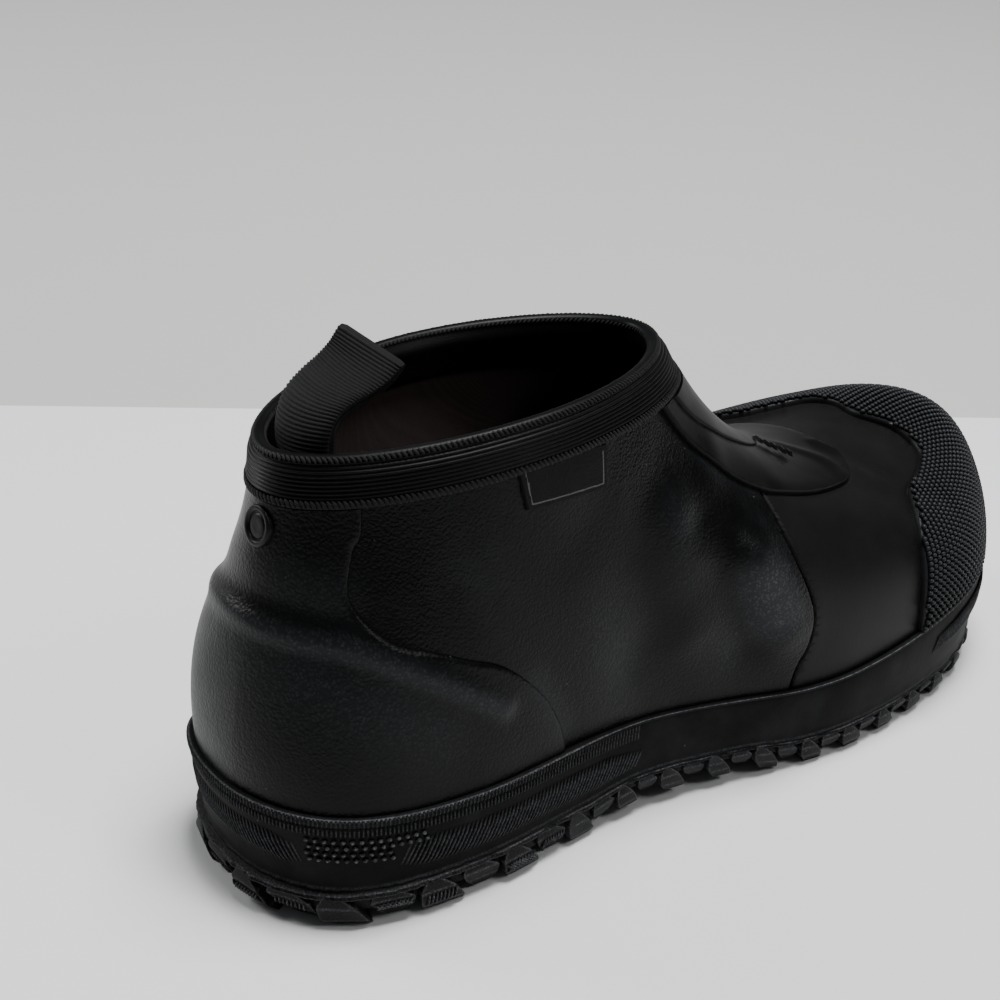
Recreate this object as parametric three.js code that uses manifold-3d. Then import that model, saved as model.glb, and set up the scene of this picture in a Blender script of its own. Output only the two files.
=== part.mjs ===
// Ankle-high rubber overshoe, right foot, as a standalone three.js scene graph in millimetres.
// +Y points to the toe, +X to the outer (lateral) side and +Z up. The heel stands on z = 0.
// The upper is one hollow shell swept from a closed ring of columns: each column is a cubic curve
// that leaves the sole's edge, passes over a shoulder and ends on the collar. Every overlay is cut
// between two offsets of that same form.

import * as THREE from 'three';
import { mergeVertices } from 'three/addons/utils/BufferGeometryUtils.js';
import Module from 'manifold-3d';

const wasm = await Module();
wasm.setup();

// Driving dimensions
const soleLength = 318;        // outline of the lug tips, heel to toe
const ballWidth = 116;         // outline of the lug tips across the ball
const soleThickness = 12;      // outsole at the heel, lugs included
const lugDepth = 5;            // how deep the tread is
const archLift = 3.2;          // rise of the waist between heel and forefoot
const toeSpring = 16;          // rise of the lug tips at the toe
const foxingHeight = 36;       // top of the foxing strip above the floor at the heel
const foxingThickness = 2.5;
const beadHeight = 2.2;        // bead along the foxing's top edge
const beadProud = 0.5;
const collarHeight = 136;      // top of the collar at the middle of its length
const collarLength = 133;      // opening over the binding, front to back
const collarWidth = 80;        // opening over the binding, side to side
const collarOffset = 2.2;      // middle of the collar inboard of the middle of the heel
const collarPower = 1.83;      // roundness of the collar's oval, where 2 is an ellipse
const collarSetback = 16;      // back of the collar ahead of the back of the sole
const columnHeight = 124;      // collar above the upper's lower edge, which the columns share
const upperInset = 1.2;        // lower edge of the upper inside the lug tips
const upperWall = 2.5;
const quarterStep = 0.6;       // how far the quarters stand proud of the vamp
const counterThickness = 1;
const guardThickness = 2.1;
const gussetThickness = 1.4;
const foldThickness = 0.9;
const bindingHeight = 14;
const bindingThickness = 1.8;
const insoleThickness = 3;
const buttonDiameter = 11.4;
const buttonDrop = 6.9;        // centre of the heel button below the binding
const buttonStand = 2.2;       // rim of the button above the upper's form
const labelLength = 31;
const labelHeight = 12;
const labelThickness = 0.9;
const labelSetback = 68;       // rear corner of the label ahead of the heel
const labelSlant = 3;          // how far its lower corner leads its upper one
const collarBackRadius = 11;   // bend of the collar's inner face, which the loop's foot follows
const loopWidth = 22;
const loopThickness = 1.5;
const loopLength = 50;         // each leg of the pull loop, from its lower end to the fold
const loopTwist = 27;          // degrees by which the fold has turned over
const loopGap = 0.5;           // between the two legs of the loop
const clearance = 0.3;         // gap between pieces that lie on each other

// Mesh density
const columnCount = 42;
const rowCount = 10;
const profileSteps = 18;
const collarSteps = 6;

// One row for each column of the upper, from the back of the heel round the outer side to the toe
// and back along the inner side. along is a share of soleLength, side of ballWidth, lip of
// soleThickness, rise and drop of columnHeight, flare of ballWidth, and reach of the plan distance
// between the sole's edge and the collar.
const COLUMNS = [
  { along: 0.000, side: 0.009, rise: 0.484, flare: 0.082, drop: 0.339, reach: 0.08, lip: 0.33 },
  { along: 0.039, side: 0.267, rise: 0.395, flare: 0.056, drop: 0.315, reach: 0.01, lip: 0.26 },
  { along: 0.156, side: 0.369, rise: 0.395, flare: 0.026, drop: 0.331, reach: 0.00, lip: 0.17 },
  { along: 0.369, side: 0.377, rise: 0.444, flare: 0.017, drop: 0.411, reach: 0.09, lip: 0.15 },
  { along: 0.616, side: 0.533, rise: 0.524, flare: 0.069, drop: 0.565, reach: 0.26, lip: 0.16 },
  { along: 0.867, side: 0.421, rise: 0.734, flare: 0.177, drop: 0.774, reach: 0.34, lip: 0.17 },
  { along: 1.000, side: -0.018, rise: 0.984, flare: 0.224, drop: 0.976, reach: 0.36, lip: 0.20 },
  { along: 0.896, side: -0.421, rise: 0.944, flare: 0.129, drop: 0.944, reach: 0.31, lip: 0.17 },
  { along: 0.715, side: -0.468, rise: 0.565, flare: 0.043, drop: 0.629, reach: 0.21, lip: 0.16 },
  { along: 0.425, side: -0.335, rise: 0.460, flare: 0.017, drop: 0.419, reach: 0.07, lip: 0.15 },
  { along: 0.156, side: -0.369, rise: 0.468, flare: 0.052, drop: 0.379, reach: 0.04, lip: 0.17 },
  { along: 0.035, side: -0.304, rise: 0.573, flare: 0.103, drop: 0.419, reach: 0.14, lip: 0.28 },
];

// Side view of the sole, heel to toe: arch is a share of archLift, spring of toeSpring, thickness
// of soleThickness, and foxing of foxingHeight.
const SOLE_LINE = [
  { along: 0.000, arch: 0.0, spring: 0.00, thickness: 1.00, foxing: 1.00 },
  { along: 0.126, arch: 0.0, spring: 0.00, thickness: 1.00, foxing: 0.93 },
  { along: 0.283, arch: 0.0, spring: 0.00, thickness: 1.00, foxing: 0.90 },
  { along: 0.360, arch: 1.0, spring: 0.00, thickness: 0.85, foxing: 0.88 },
  { along: 0.470, arch: 0.9, spring: 0.00, thickness: 0.80, foxing: 0.83 },
  { along: 0.550, arch: 0.0, spring: 0.00, thickness: 0.85, foxing: 0.79 },
  { along: 0.780, arch: 0.0, spring: 0.00, thickness: 0.80, foxing: 0.93 },
  { along: 0.880, arch: 0.0, spring: 0.13, thickness: 0.78, foxing: 1.06 },
  { along: 0.950, arch: 0.0, spring: 0.50, thickness: 0.75, foxing: 1.16 },
  { along: 1.000, arch: 0.0, spring: 1.00, thickness: 0.75, foxing: 1.26 },
];

// Collar's top line, back to front: height as a share of collarHeight
const COLLAR_LINE = [
  { at: 0.0, height: 0.949 },
  { at: 0.5, height: 1.001 },
  { at: 1.0, height: 1.028 },
];

// Front edge of the quarters in side view: height of collarHeight, along of soleLength
const SEAM_LINE = [
  { height: -0.20, along: 0.515 },
  { height: 0.20, along: 0.524 },
  { height: 0.33, along: 0.540 },
  { height: 0.42, along: 0.544 },
  { height: 0.55, along: 0.530 },
  { height: 0.69, along: 0.527 },
  { height: 1.30, along: 0.530 },
];

// Front edge of the heel counter in side view, top to bottom, in the same shares
const COUNTER_LINE = [
  { along: 0.092, height: 1.30 },
  { along: 0.092, height: 0.86 },
  { along: 0.082, height: 0.77 },
  { along: 0.074, height: 0.70 },
  { along: 0.076, height: 0.66 },
  { along: 0.086, height: 0.62 },
  { along: 0.104, height: 0.585 },
  { along: 0.132, height: 0.56 },
  { along: 0.160, height: 0.53 },
  { along: 0.189, height: 0.50 },
  { along: 0.215, height: 0.45 },
  { along: 0.241, height: 0.38 },
  { along: 0.258, height: 0.30 },
  { along: 0.264, height: 0.22 },
  { along: 0.264, height: 0.00 },
];

// Rear edge of the toe guard seen from above: side is a share of the half width at the ball
const GUARD_LINE = [
  { side: 0.00, along: 0.836 },
  { side: 0.25, along: 0.848 },
  { side: 0.46, along: 0.838 },
  { side: 0.59, along: 0.795 },
  { side: 0.65, along: 0.768 },
  { side: 0.84, along: 0.735 },
  { side: 0.97, along: 0.718 },
  { side: 1.40, along: 0.690 },
];

// Outline of the instep gusset and of its raised fold, seen from above, in the same shares
const GUSSET_LINE = [
  { side: 0.47, along: 0.380 },
  { side: 0.54, along: 0.450 },
  { side: 0.61, along: 0.528 },
  { side: 0.61, along: 0.600 },
  { side: 0.57, along: 0.655 },
  { side: 0.50, along: 0.700 },
  { side: 0.36, along: 0.725 },
  { side: 0.18, along: 0.733 },
  { side: 0.00, along: 0.735 },
];
const FOLD_LINE = [
  { side: 0.42, along: 0.380 },
  { side: 0.44, along: 0.460 },
  { side: 0.36, along: 0.550 },
  { side: 0.24, along: 0.600 },
  { side: 0.10, along: 0.618 },
  { side: 0.00, along: 0.622 },
];

// Pull loop's middle line in side view, from its sewn ends to its fold, in shares of loopLength:
// ahead of the collar's inner face and above the collar's top
const LOOP_LINE = [
  { ahead: 0.00, above: -0.20 },
  { ahead: 0.00, above: -0.02 },
  { ahead: 0.03, above: 0.09 },
  { ahead: 0.10, above: 0.18 },
  { ahead: 0.21, above: 0.24 },
  { ahead: 0.33, above: 0.285 },
  { ahead: 0.44, above: 0.34 },
  { ahead: 0.53, above: 0.41 },
];

// Tread: rows of chevron bars, along of soleLength and width of the local half width
const CHEVRONS = [
  { along: 0.065, width: 0.46 },
  { along: 0.130, width: 0.56 },
  { along: 0.195, width: 0.60 },
  { along: 0.255, width: 0.60 },
  { along: 0.590, width: 0.64 },
  { along: 0.650, width: 0.68 },
  { along: 0.710, width: 0.70 },
  { along: 0.765, width: 0.68 },
  { along: 0.825, width: 0.62 },
  { along: 0.885, width: 0.50 },
];
const edgeLugCount = 40;
const edgeLugShare = 0.62;     // of their pitch that the lugs fill
const edgeLugReach = 11;       // from the outline inwards
const edgeLugStep = 1.5;       // slant of a lug's outer face
const edgeLugDraft = 1;        // how far its root reaches further in than its tip
const chevronBar = 7;          // width of a bar
const chevronSweep = 9;        // how far its arms lead its middle
const chevronLap = 1;          // how far each arm crosses the middle line
const lugSink = 0.6;           // how far the lugs' roots reach into the sole
const lugDraft = 0.8;          // how far a bar's root is wider all round than its tip

// Everything lies in the sole's own span: heel edge at y = 0 until the whole is centred.
const outerHalf = 0.533 * ballWidth;
const innerHalf = 0.468 * ballWidth;
const margin = 40;
const span = {
  low: -margin, high: collarHeight + 2 * margin,
  back: -margin, front: soleLength + margin, side: ballWidth,
};

// Interpolation helpers

/** Value of a column round the closed table at u in [0, 1), by a uniform Catmull-Rom curve. */
function around(rows, key, u) {
  const n = rows.length;
  const s = (((u % 1) + 1) % 1) * n;
  const i = Math.floor(s);
  const f = s - i;
  const [a, b, c, d] = [-1, 0, 1, 2].map((k) => rows[(i + k + n) % n][key]);
  return 0.5 * (2 * b + (c - a) * f + (2 * a - 5 * b + 4 * c - d) * f * f
    + (3 * b - a - 3 * c + d) * f * f * f);
}

/** Value of a column along an open table, by a monotone cubic that keeps flat runs flat. */
function along(rows, at, key, x) {
  const last = rows.length - 1;
  if (x <= rows[0][at]) return rows[0][key];
  if (x >= rows[last][at]) return rows[last][key];
  const i = rows.findIndex((row, k) => k < last && x <= rows[k + 1][at]);
  const slope = (k) => (rows[k + 1][key] - rows[k][key]) / (rows[k + 1][at] - rows[k][at]);
  const tangent = (k) => {
    if (k === 0 || k === last) return slope(Math.min(k, last - 1));
    const [p, q] = [slope(k - 1), slope(k)];
    return p * q <= 0 ? 0 : (2 * p * q) / (p + q);
  };
  const h = rows[i + 1][at] - rows[i][at];
  const t = (x - rows[i][at]) / h;
  const [t2, t3] = [t * t, t * t * t];
  return rows[i][key] * (2 * t3 - 3 * t2 + 1) + rows[i + 1][key] * (3 * t2 - 2 * t3)
    + h * (tangent(i) * (t3 - 2 * t2 + t) + tangent(i + 1) * (t3 - t2));
}

const soleAt = (key, y) => along(SOLE_LINE, 'along', key, y / soleLength);
const soleBottom = (y) => archLift * soleAt('arch', y) + toeSpring * soleAt('spring', y);
const soleTop = (y) => soleBottom(y) + soleThickness * soleAt('thickness', y);
const foxingTop = (y) => foxingHeight * soleAt('foxing', y);
const collarTop = (y) => {
  const at = (y - collarSetback) / collarLength;
  return collarHeight * along(COLLAR_LINE, 'at', 'height', at);
};

// The form of the upper

/** Plan point of the lug tips' outline at u, with its outward normal. */
function outline(u) {
  const at = (v) => new THREE.Vector2(
    ballWidth * around(COLUMNS, 'side', v), soleLength * around(COLUMNS, 'along', v));
  const step = 1e-3;
  const tangent = at(u + step).sub(at(u - step)).normalize();
  return { point: at(u), normal: new THREE.Vector2(tangent.y, -tangent.x) };
}

/** Plan point of the collar's ring at u: a slightly pointed oval. */
function collarPoint(u) {
  const angle = 2 * Math.PI * u;
  const bend = (value) => Math.sign(value) * Math.abs(value) ** (2 / collarPower);
  const y = collarSetback + collarLength / 2 * (1 - bend(Math.cos(angle)));
  const x = -collarOffset + collarWidth / 2 * bend(Math.sin(angle));
  return new THREE.Vector3(x, y, collarTop(y));
}

/** The four control points of the column at u, from the sole's edge to the collar. */
function column(u) {
  const { point, normal } = outline(u);
  const foot = point.clone().addScaledVector(normal, -upperInset);
  const edge = new THREE.Vector3(foot.x, foot.y, soleTop(point.y));
  const collar = collarPoint(u);
  const value = (key) => around(COLUMNS, key, u);
  const shoulder = edge.clone();
  shoulder.x += normal.x * ballWidth * value('flare');
  shoulder.y += normal.y * ballWidth * value('flare');
  shoulder.z += columnHeight * value('rise');
  const neck = collar.clone().lerp(new THREE.Vector3(edge.x, edge.y, collar.z), value('reach'));
  neck.z -= columnHeight * value('drop');
  return new THREE.CubicBezierCurve3(edge, shoulder, neck, collar);
}

/** Rows of surface points with a straight skirt below the first and above the last. */
const skirt = { below: 30, above: 12 };
const columns = Array.from({ length: columnCount }, (_, i) => column(i / columnCount));
const formRows = [];
for (let row = -1; row <= rowCount + 1; row += 1) {
  const v = Math.min(Math.max(row / rowCount, 0), 1);
  formRows.push(columns.map((curve) => {
    const p = curve.getPoint(v);
    if (row < 0) p.z -= skirt.below;
    if (row > rowCount) p.z += skirt.above;
    return p;
  }));
}

/** Outward normals of the form's grid, from its neighbours along each column and ring. */
const formNormals = formRows.map((ring, j) => ring.map((p, i) => {
  const n = ring.length;
  const across = ring[(i + 1) % n].clone().sub(ring[(i + n - 1) % n]);
  const up = formRows[Math.min(j + 1, formRows.length - 1)][i].clone()
    .sub(formRows[Math.max(j - 1, 0)][i]);
  return across.cross(up).normalize();
}));

/** Vertices of stacked rings, each an array of as many points, and the faces of their side. */
function stackSides(rings) {
  const n = rings[0].length;
  const vertices = [];
  const faces = [];
  rings.forEach((ring) => ring.forEach((p) => vertices.push(p.x, p.y, p.z)));
  for (let j = 0; j < rings.length - 1; j += 1) {
    for (let i = 0; i < n; i += 1) {
      const [a, b] = [j * n + i, j * n + ((i + 1) % n)];
      faces.push(a, b, b + n, a, b + n, a + n);
    }
  }
  return { n, vertices, faces };
}

/** Closed geometry of stacked rings with a fan over both ends. */
function stackGeometry(rings) {
  const { n, vertices, faces } = stackSides(rings);
  [0, rings.length - 1].forEach((j) => {
    const middle = new THREE.Vector3();
    rings[j].forEach((p) => middle.addScaledVector(p, 1 / n));
    const centre = vertices.length / 3;
    vertices.push(middle.x, middle.y, middle.z);
    for (let i = 0; i < n; i += 1) {
      const [a, b] = [j * n + i, j * n + ((i + 1) % n)];
      faces.push(...(j === 0 ? [b, a, centre] : [a, b, centre]));
    }
  });
  return indexed(vertices, faces);
}

function indexed(vertices, faces) {
  const geometry = new THREE.BufferGeometry();
  geometry.setAttribute('position', new THREE.Float32BufferAttribute(vertices, 3));
  geometry.setIndex(faces);
  return geometry;
}

// Solids

/** Manifold solid of a closed geometry. */
function solid(geometry) {
  const bare = geometry.clone();
  bare.deleteAttribute('normal');
  bare.deleteAttribute('uv');
  const merged = mergeVertices(bare, 1e-4);
  return new wasm.Manifold(new wasm.Mesh({
    numProp: 3,
    vertProperties: new Float32Array(merged.attributes.position.array),
    triVerts: new Uint32Array(merged.index.array),
  }));
}

/** The upper's outer form grown by an offset along its normals. */
function form(offset) {
  return solid(stackGeometry(formRows.map((ring, j) => ring.map(
    (p, i) => p.clone().addScaledVector(formNormals[j][i], offset)))));
}

/** Block across the whole shoe from an outline in side view, as [y, z] pairs. */
function sideBlock(points) {
  const shape = new THREE.Shape(points.map(([y, z]) => new THREE.Vector2(y, z)));
  const geometry = new THREE.ExtrudeGeometry(shape, { depth: 2 * span.side, bevelEnabled: false });
  geometry.applyMatrix4(new THREE.Matrix4().makeBasis(
    new THREE.Vector3(0, 1, 0), new THREE.Vector3(0, 0, 1), new THREE.Vector3(1, 0, 0)));
  geometry.translate(-span.side, 0, 0);
  return solid(geometry);
}

/** Block through the whole height from an outline seen from above, as [x, y] pairs. */
function planBlock(points) {
  const shape = new THREE.Shape(points.map(([x, y]) => new THREE.Vector2(x, y)));
  const geometry = new THREE.ExtrudeGeometry(
    shape, { depth: span.high - span.low, bevelEnabled: false });
  geometry.translate(0, 0, span.low);
  return solid(geometry);
}

/** Side view of a height along the whole shoe, as [y, z] pairs. */
const soleLine = (height) => Array.from({ length: profileSteps + 1 }, (_, i) => {
  const y = span.back + (span.front - span.back) * i / profileSteps;
  return [y, height(y)];
});

/** Side view of a height that only bends along the collar. */
const collarLine = (height) => [
  [span.back, height(span.back)],
  ...Array.from({ length: collarSteps + 1 }, (_, i) => {
    const y = collarSetback + collarLength * i / collarSteps;
    return [y, height(y)];
  }),
  [span.front, height(span.front)],
];

const levelLine = (z) => [[span.back, z], [span.front, z]];

/** Block between two lines of side view. */
const between = (low, high) => sideBlock([...low, ...high.slice().reverse()]);

/** Outer and inner half of a plan outline given in shares of each side's half width. */
function halves(rows, innerReach) {
  const outer = rows.map(({ side, along: at }) => [side * outerHalf, at * soleLength]);
  const inner = rows.map(({ side, along: at }) => [-side * innerReach, at * soleLength]);
  return { outer, inner };
}

/** Smooth points along a short table of two shares. */
function smoothed(points, steps) {
  const curve = new THREE.CatmullRomCurve3(points.map(([a, b]) => new THREE.Vector3(a, b, 0)));
  return curve.getPoints(steps).map((p) => [p.x, p.y]);
}

/** Points in side view along a short table of along and height shares. */
const sideCurve = (rows, steps) => smoothed(rows.map((row) => [
  row.along * soleLength, row.height * collarHeight]), steps);

/** Region ahead of the quarters' front edge, moved forward by a shift. */
function vampBlock(shift) {
  const seam = sideCurve(SEAM_LINE, 12).map(([y, z]) => [y + shift, z]);
  const [[, low], [, high]] = [seam[0], seam[seam.length - 1]];
  return sideBlock([[span.front, high], [span.front, low], ...seam].reverse());
}

/** Outer face of the upper at an offset: the vamp lies a step lower than the quarters. */
function skin(offset) {
  const recess = form(offset + quarterStep).subtract(form(offset - quarterStep))
    .intersect(vampBlock(offset));
  return form(offset).subtract(recess);
}

// Pieces

const upperTop = (y) => collarTop(y) - bindingThickness;
const bindingLow = (y) => collarTop(y) - bindingHeight;
const upperFoot = (y) => soleTop(y) + clearance;

function makeUpper() {
  return skin(0).subtract(form(-upperWall))
    .intersect(between(soleLine(upperFoot), collarLine(upperTop)));
}

function makeInsole() {
  const low = (y) => soleTop(y) + clearance;
  const high = (y) => soleTop(y) + clearance + insoleThickness;
  return form(-upperWall - clearance).intersect(between(soleLine(low), soleLine(high)));
}

function makeFoxing() {
  const hollow = skin(clearance);
  const band = (proud, low, high) => form(clearance + proud)
    .intersect(between(soleLine(low), soleLine(high)));
  const beadRoot = (y) => foxingTop(y) - beadHeight;
  const strip = band(foxingThickness, upperFoot, (y) => beadRoot(y) + beadProud);
  const rim = band(foxingThickness + beadProud, beadRoot, foxingTop);
  return strip.add(rim).subtract(hollow);
}

function makeToeGuard() {
  const { outer, inner } = halves(GUARD_LINE, innerHalf);
  const [[outerEnd], [innerEnd]] = [outer[outer.length - 1], inner[inner.length - 1]];
  const plan = [...inner.slice(1).reverse(), ...outer,
    [outerEnd, span.front], [innerEnd, span.front]];
  return form(clearance + guardThickness)
    .subtract(skin(clearance))
    .intersect(between(soleLine((y) => foxingTop(y) + clearance), levelLine(span.high)))
    .intersect(planBlock(plan));
}

function makeCounter() {
  const edge = sideCurve(COUNTER_LINE, 18);
  return form(clearance + counterThickness)
    .subtract(form(clearance))
    .intersect(between(soleLine((y) => foxingTop(y) + clearance),
      collarLine((y) => bindingLow(y) - clearance)))
    .intersect(sideBlock([[span.back, 0], [span.back, edge[0][1]], ...edge]));
}

function makeGusset() {
  const pad = planBlock(smoothedPlan(GUSSET_LINE));
  const fold = planBlock(smoothedPlan(FOLD_LINE));
  const height = between(levelLine(0.5 * collarHeight),
    collarLine((y) => bindingLow(y) - clearance));
  const layer = (proud, region) => form(clearance + proud).intersect(region);
  return layer(gussetThickness, pad)
    .add(layer(gussetThickness + foldThickness, fold))
    .subtract(skin(clearance))
    .intersect(height);
}

/** Closed plan outline of the gusset or its fold, round its front from side to side. */
function smoothedPlan(rows) {
  const { outer, inner } = halves(rows, outerHalf);
  return smoothed([...outer, ...inner.reverse().slice(1)], 20);
}

function makeBinding() {
  const grown = form(clearance + bindingThickness);
  const bore = form(-upperWall - clearance - bindingThickness);
  const slot = form(clearance).subtract(form(-upperWall - clearance))
    .intersect(between(levelLine(span.low), collarLine((y) => upperTop(y) + clearance)));
  return grown.subtract(bore)
    .intersect(between(collarLine(bindingLow), collarLine(collarTop))).subtract(slot);
}

function makeLabel() {
  const front = labelSetback + labelLength;
  const top = bindingLow(labelSetback + labelLength / 2) - clearance;
  const region = sideBlock([
    [labelSetback + labelSlant, top - labelHeight], [front, top - labelHeight],
    [front, top], [labelSetback, top],
  ]);
  const outerSide = planBlock([[0, span.back], [span.side, span.back],
    [span.side, span.front], [0, span.front]]);
  return form(clearance + labelThickness).subtract(form(clearance))
    .intersect(region).intersect(outerSide)
    .intersect(between(levelLine(span.low), collarLine((y) => bindingLow(y) - clearance)));
}

/** Point and outward normal of the form at the back of the heel, at a height. */
function heelPoint(height) {
  const curve = columns[0];
  const halvings = 30;
  let low = 0;
  let high = 1;
  for (let i = 0; i < halvings; i += 1) {
    const middle = (low + high) / 2;
    if (curve.getPoint(middle).z < height) low = middle;
    else high = middle;
  }
  const tangent = curve.getTangent(low);
  const normal = new THREE.Vector3(1, 0, 0).cross(tangent).normalize();
  return { point: curve.getPoint(low), normal };
}

function makeButton() {
  const radius = buttonDiameter / 2;
  const [edge, rim, dish] = [0.5, 1.4, 0.7];
  const profile = [
    [0, -upperWall], [radius, -upperWall], [radius, buttonStand - edge],
    [radius - edge, buttonStand], [radius - rim, buttonStand],
    [radius - rim - dish, buttonStand - dish], [0, buttonStand - dish],
  ].map(([r, h]) => new THREE.Vector2(r, h));
  const geometry = new THREE.LatheGeometry(profile, 14);
  const seat = heelPoint(bindingLow(collarSetback) - buttonDrop);
  const turn = new THREE.Quaternion().setFromUnitVectors(
    new THREE.Vector3(0, 1, 0), seat.normal);
  geometry.applyQuaternion(turn);
  geometry.translate(seat.point.x, seat.point.y, seat.point.z);
  return solid(geometry).subtract(form(clearance + counterThickness + clearance));
}

/** Pull loop: one ribbon that runs up, folds over and runs down again beside itself. */
function makeLoop() {
  const back = collarPoint(0);
  const wall = upperWall + 2 * clearance + bindingThickness;
  const face = back.y + wall + loopThickness + 2 * loopGap;
  const line = new THREE.CatmullRomCurve3(LOOP_LINE.map(({ ahead, above }) => new THREE.Vector3(
    0, face + ahead * loopLength, back.z + above * loopLength)));
  const steps = 9;
  const across = 2;
  const rings = [];
  const frameAt = (t) => {
    const tangent = line.getTangent(t);
    const normal = new THREE.Vector3(1, 0, 0).cross(tangent).normalize();
    const turn = THREE.MathUtils.degToRad(loopTwist) * t * Math.sqrt(t);
    const axis = new THREE.Vector3(1, 0, 0).applyAxisAngle(tangent, turn);
    return { origin: line.getPoint(t), tangent, normal: normal.applyAxisAngle(tangent, turn), axis };
  };
  const point = (t, x, proud, ahead) => {
    const f = frameAt(t);
    const p = f.origin.clone().addScaledVector(f.axis, x).addScaledVector(f.normal, proud)
      .addScaledVector(f.tangent, ahead);
    p.x += back.x;
    p.y += (1 - t) * (x * x) / (2 * collarBackRadius);
    return p;
  };
  const half = loopGap / 2;
  const outer = half + loopThickness;
  for (let k = 0; k <= across; k += 1) {
    const x = loopWidth * (k / across - 0.5);
    const ring = [];
    for (let i = 0; i <= steps; i += 1) ring.push(point(i / steps, x, outer, 0));
    ring.push(point(1, x, 0.7 * outer, 0.7 * outer), point(1, x, 0, outer),
      point(1, x, -0.7 * outer, 0.7 * outer));
    for (let i = steps; i >= 0; i -= 1) ring.push(point(i / steps, x, -outer, 0));
    for (let i = 0; i <= steps; i += 1) ring.push(point(i / steps, x, -half, 0));
    for (let i = steps; i >= 0; i -= 1) ring.push(point(i / steps, x, half, 0));
    rings.push(ring);
  }
  return bandSolid(rings);
}

/** Solid of a flat closed outline repeated at even steps, with its ends triangulated once. */
function bandSolid(rings) {
  const { n, vertices, faces } = stackSides(rings);
  const flat = rings[0].map((p) => new THREE.Vector2(p.y, p.z));
  const reversed = THREE.ShapeUtils.isClockWise(flat);
  const top = (rings.length - 1) * n;
  THREE.ShapeUtils.triangulateShape(flat, []).forEach(([a, b, c]) => {
    const cap = [c, b, a, top + a, top + b, top + c];
    faces.push(...(reversed ? cap.reverse() : cap));
  });
  const made = solid(indexed(vertices, faces));
  return made.volume() > 0 ? made : solid(indexed(vertices, faces.reverse()));
}

// Outsole

/** Outline point at u moved out by an offset, at the height that a line gives there. */
function outlinePoint(u, offset, height) {
  const { point, normal } = outline(u);
  const p = point.addScaledVector(normal, offset);
  return new THREE.Vector3(p.x, p.y, height(p.y));
}

/** Slab between ring layers whose two ends are ruled straight across the shoe. */
function slab(layers) {
  const { n, vertices, faces } = stackSides(layers.map(({ offset, height }) => Array.from(
    { length: columnCount },
    (_, i) => outlinePoint(i / columnCount, offset(i / columnCount), height))));
  const top = (layers.length - 1) * n;
  for (let i = 0; i < n / 2; i += 1) {
    const [a, b, c, d] = [i, i + 1, (n - i) % n, n - i - 1];
    if (i > 0) faces.push(a, c, b, top + a, top + b, top + c);
    if (b !== d) faces.push(b, c, d, top + b, top + d, top + c);
  }
  return solid(indexed(vertices, faces));
}

/** Prism between a lower and an upper polygon with as many corners, both convex in plan. */
function prism(low, high) {
  const made = solid(stackGeometry([low, high]));
  return made.volume() > 0 ? made : solid(stackGeometry([high, low]));
}

const lip = (u) => soleThickness * around(COLUMNS, 'lip', u);
const treadRoot = (y) => soleBottom(y) + lugDepth;

function makeEdgeLugs() {
  const half = edgeLugShare / edgeLugCount / 2;
  const root = (y) => treadRoot(y) + lugSink;
  return Array.from({ length: edgeLugCount }, (_, k) => {
    const middle = (k + 0.5) / edgeLugCount;
    const corner = (share, offset, height) => outlinePoint(middle + share * half, offset, height);
    const rim = lip(middle) - lugSink;
    const low = [
      corner(-0.7, 0, soleBottom), corner(0.85, -edgeLugStep, soleBottom),
      corner(0.6, -edgeLugReach, soleBottom), corner(-0.6, -edgeLugReach, soleBottom),
    ];
    const high = [
      corner(-1, rim, root), corner(1, rim - edgeLugStep, root),
      corner(0.75, -edgeLugReach - edgeLugDraft, root),
      corner(-0.75, -edgeLugReach - edgeLugDraft, root),
    ];
    return prism(low, high);
  });
}

/** Half width of the tread's middle field at y: narrow at the heel, wide at the ball. */
function treadHalf(y, sign) {
  const heelHalf = 0.37 * ballWidth;
  const widening = 0.5 * Math.max(0, y - 0.4 * soleLength);
  return Math.min(sign > 0 ? outerHalf : innerHalf, heelHalf + widening);
}

/** One arm of a chevron on the side that sign gives, with its root wider than its tip. */
function chevronArm(y, width, sign) {
  const x = sign * width * treadHalf(y, sign);
  const half = chevronBar / 2;
  const plan = (grow, height) => [
    [-sign * (chevronLap + grow), y - half - grow], [x, y + chevronSweep - half - grow],
    [x, y + chevronSweep + half + grow], [-sign * (chevronLap + grow), y + half + grow],
  ].map(([px, py]) => new THREE.Vector3(px, py, height(py)));
  return prism(plan(0, soleBottom), plan(lugDraft, (py) => treadRoot(py) + lugSink));
}

const makeChevrons = () => CHEVRONS.flatMap(({ along: at, width }) => [1, -1].map(
  (sign) => chevronArm(at * soleLength, width, sign)));

function makeOutsole() {
  const foxingFace = foxingThickness + clearance - upperInset;
  const base = slab([
    { offset: (u) => lip(u) - lugSink, height: treadRoot },
    { offset: (u) => lip(u), height: (y) => (treadRoot(y) + soleTop(y)) / 2 },
    { offset: () => foxingFace, height: (y) => soleTop(y) + lugDepth },
  ]).intersect(between(levelLine(span.low), soleLine(soleTop)));
  return wasm.Manifold.union([base, ...makeEdgeLugs(), ...makeChevrons()]);
}

// Materials and scene graph

const rubber = (color, roughness) => new THREE.MeshStandardMaterial({
  color, roughness, metalness: 0 });
const materials = {
  outsoleRubber: rubber(0x17181a, 0.75),
  foxingRubber: rubber(0x151619, 0.6),
  quarterRubber: rubber(0x1a1b1f, 0.55),
  vampRubber: rubber(0x1c1c1f, 0.45),
  bindingRubber: rubber(0x121316, 0.6),
  webbing: rubber(0x18191c, 0.85),
  labelWeave: rubber(0x141416, 0.8),
  lining: rubber(0x221d1c, 0.95),
};

const shoe = new THREE.Group();

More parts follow.
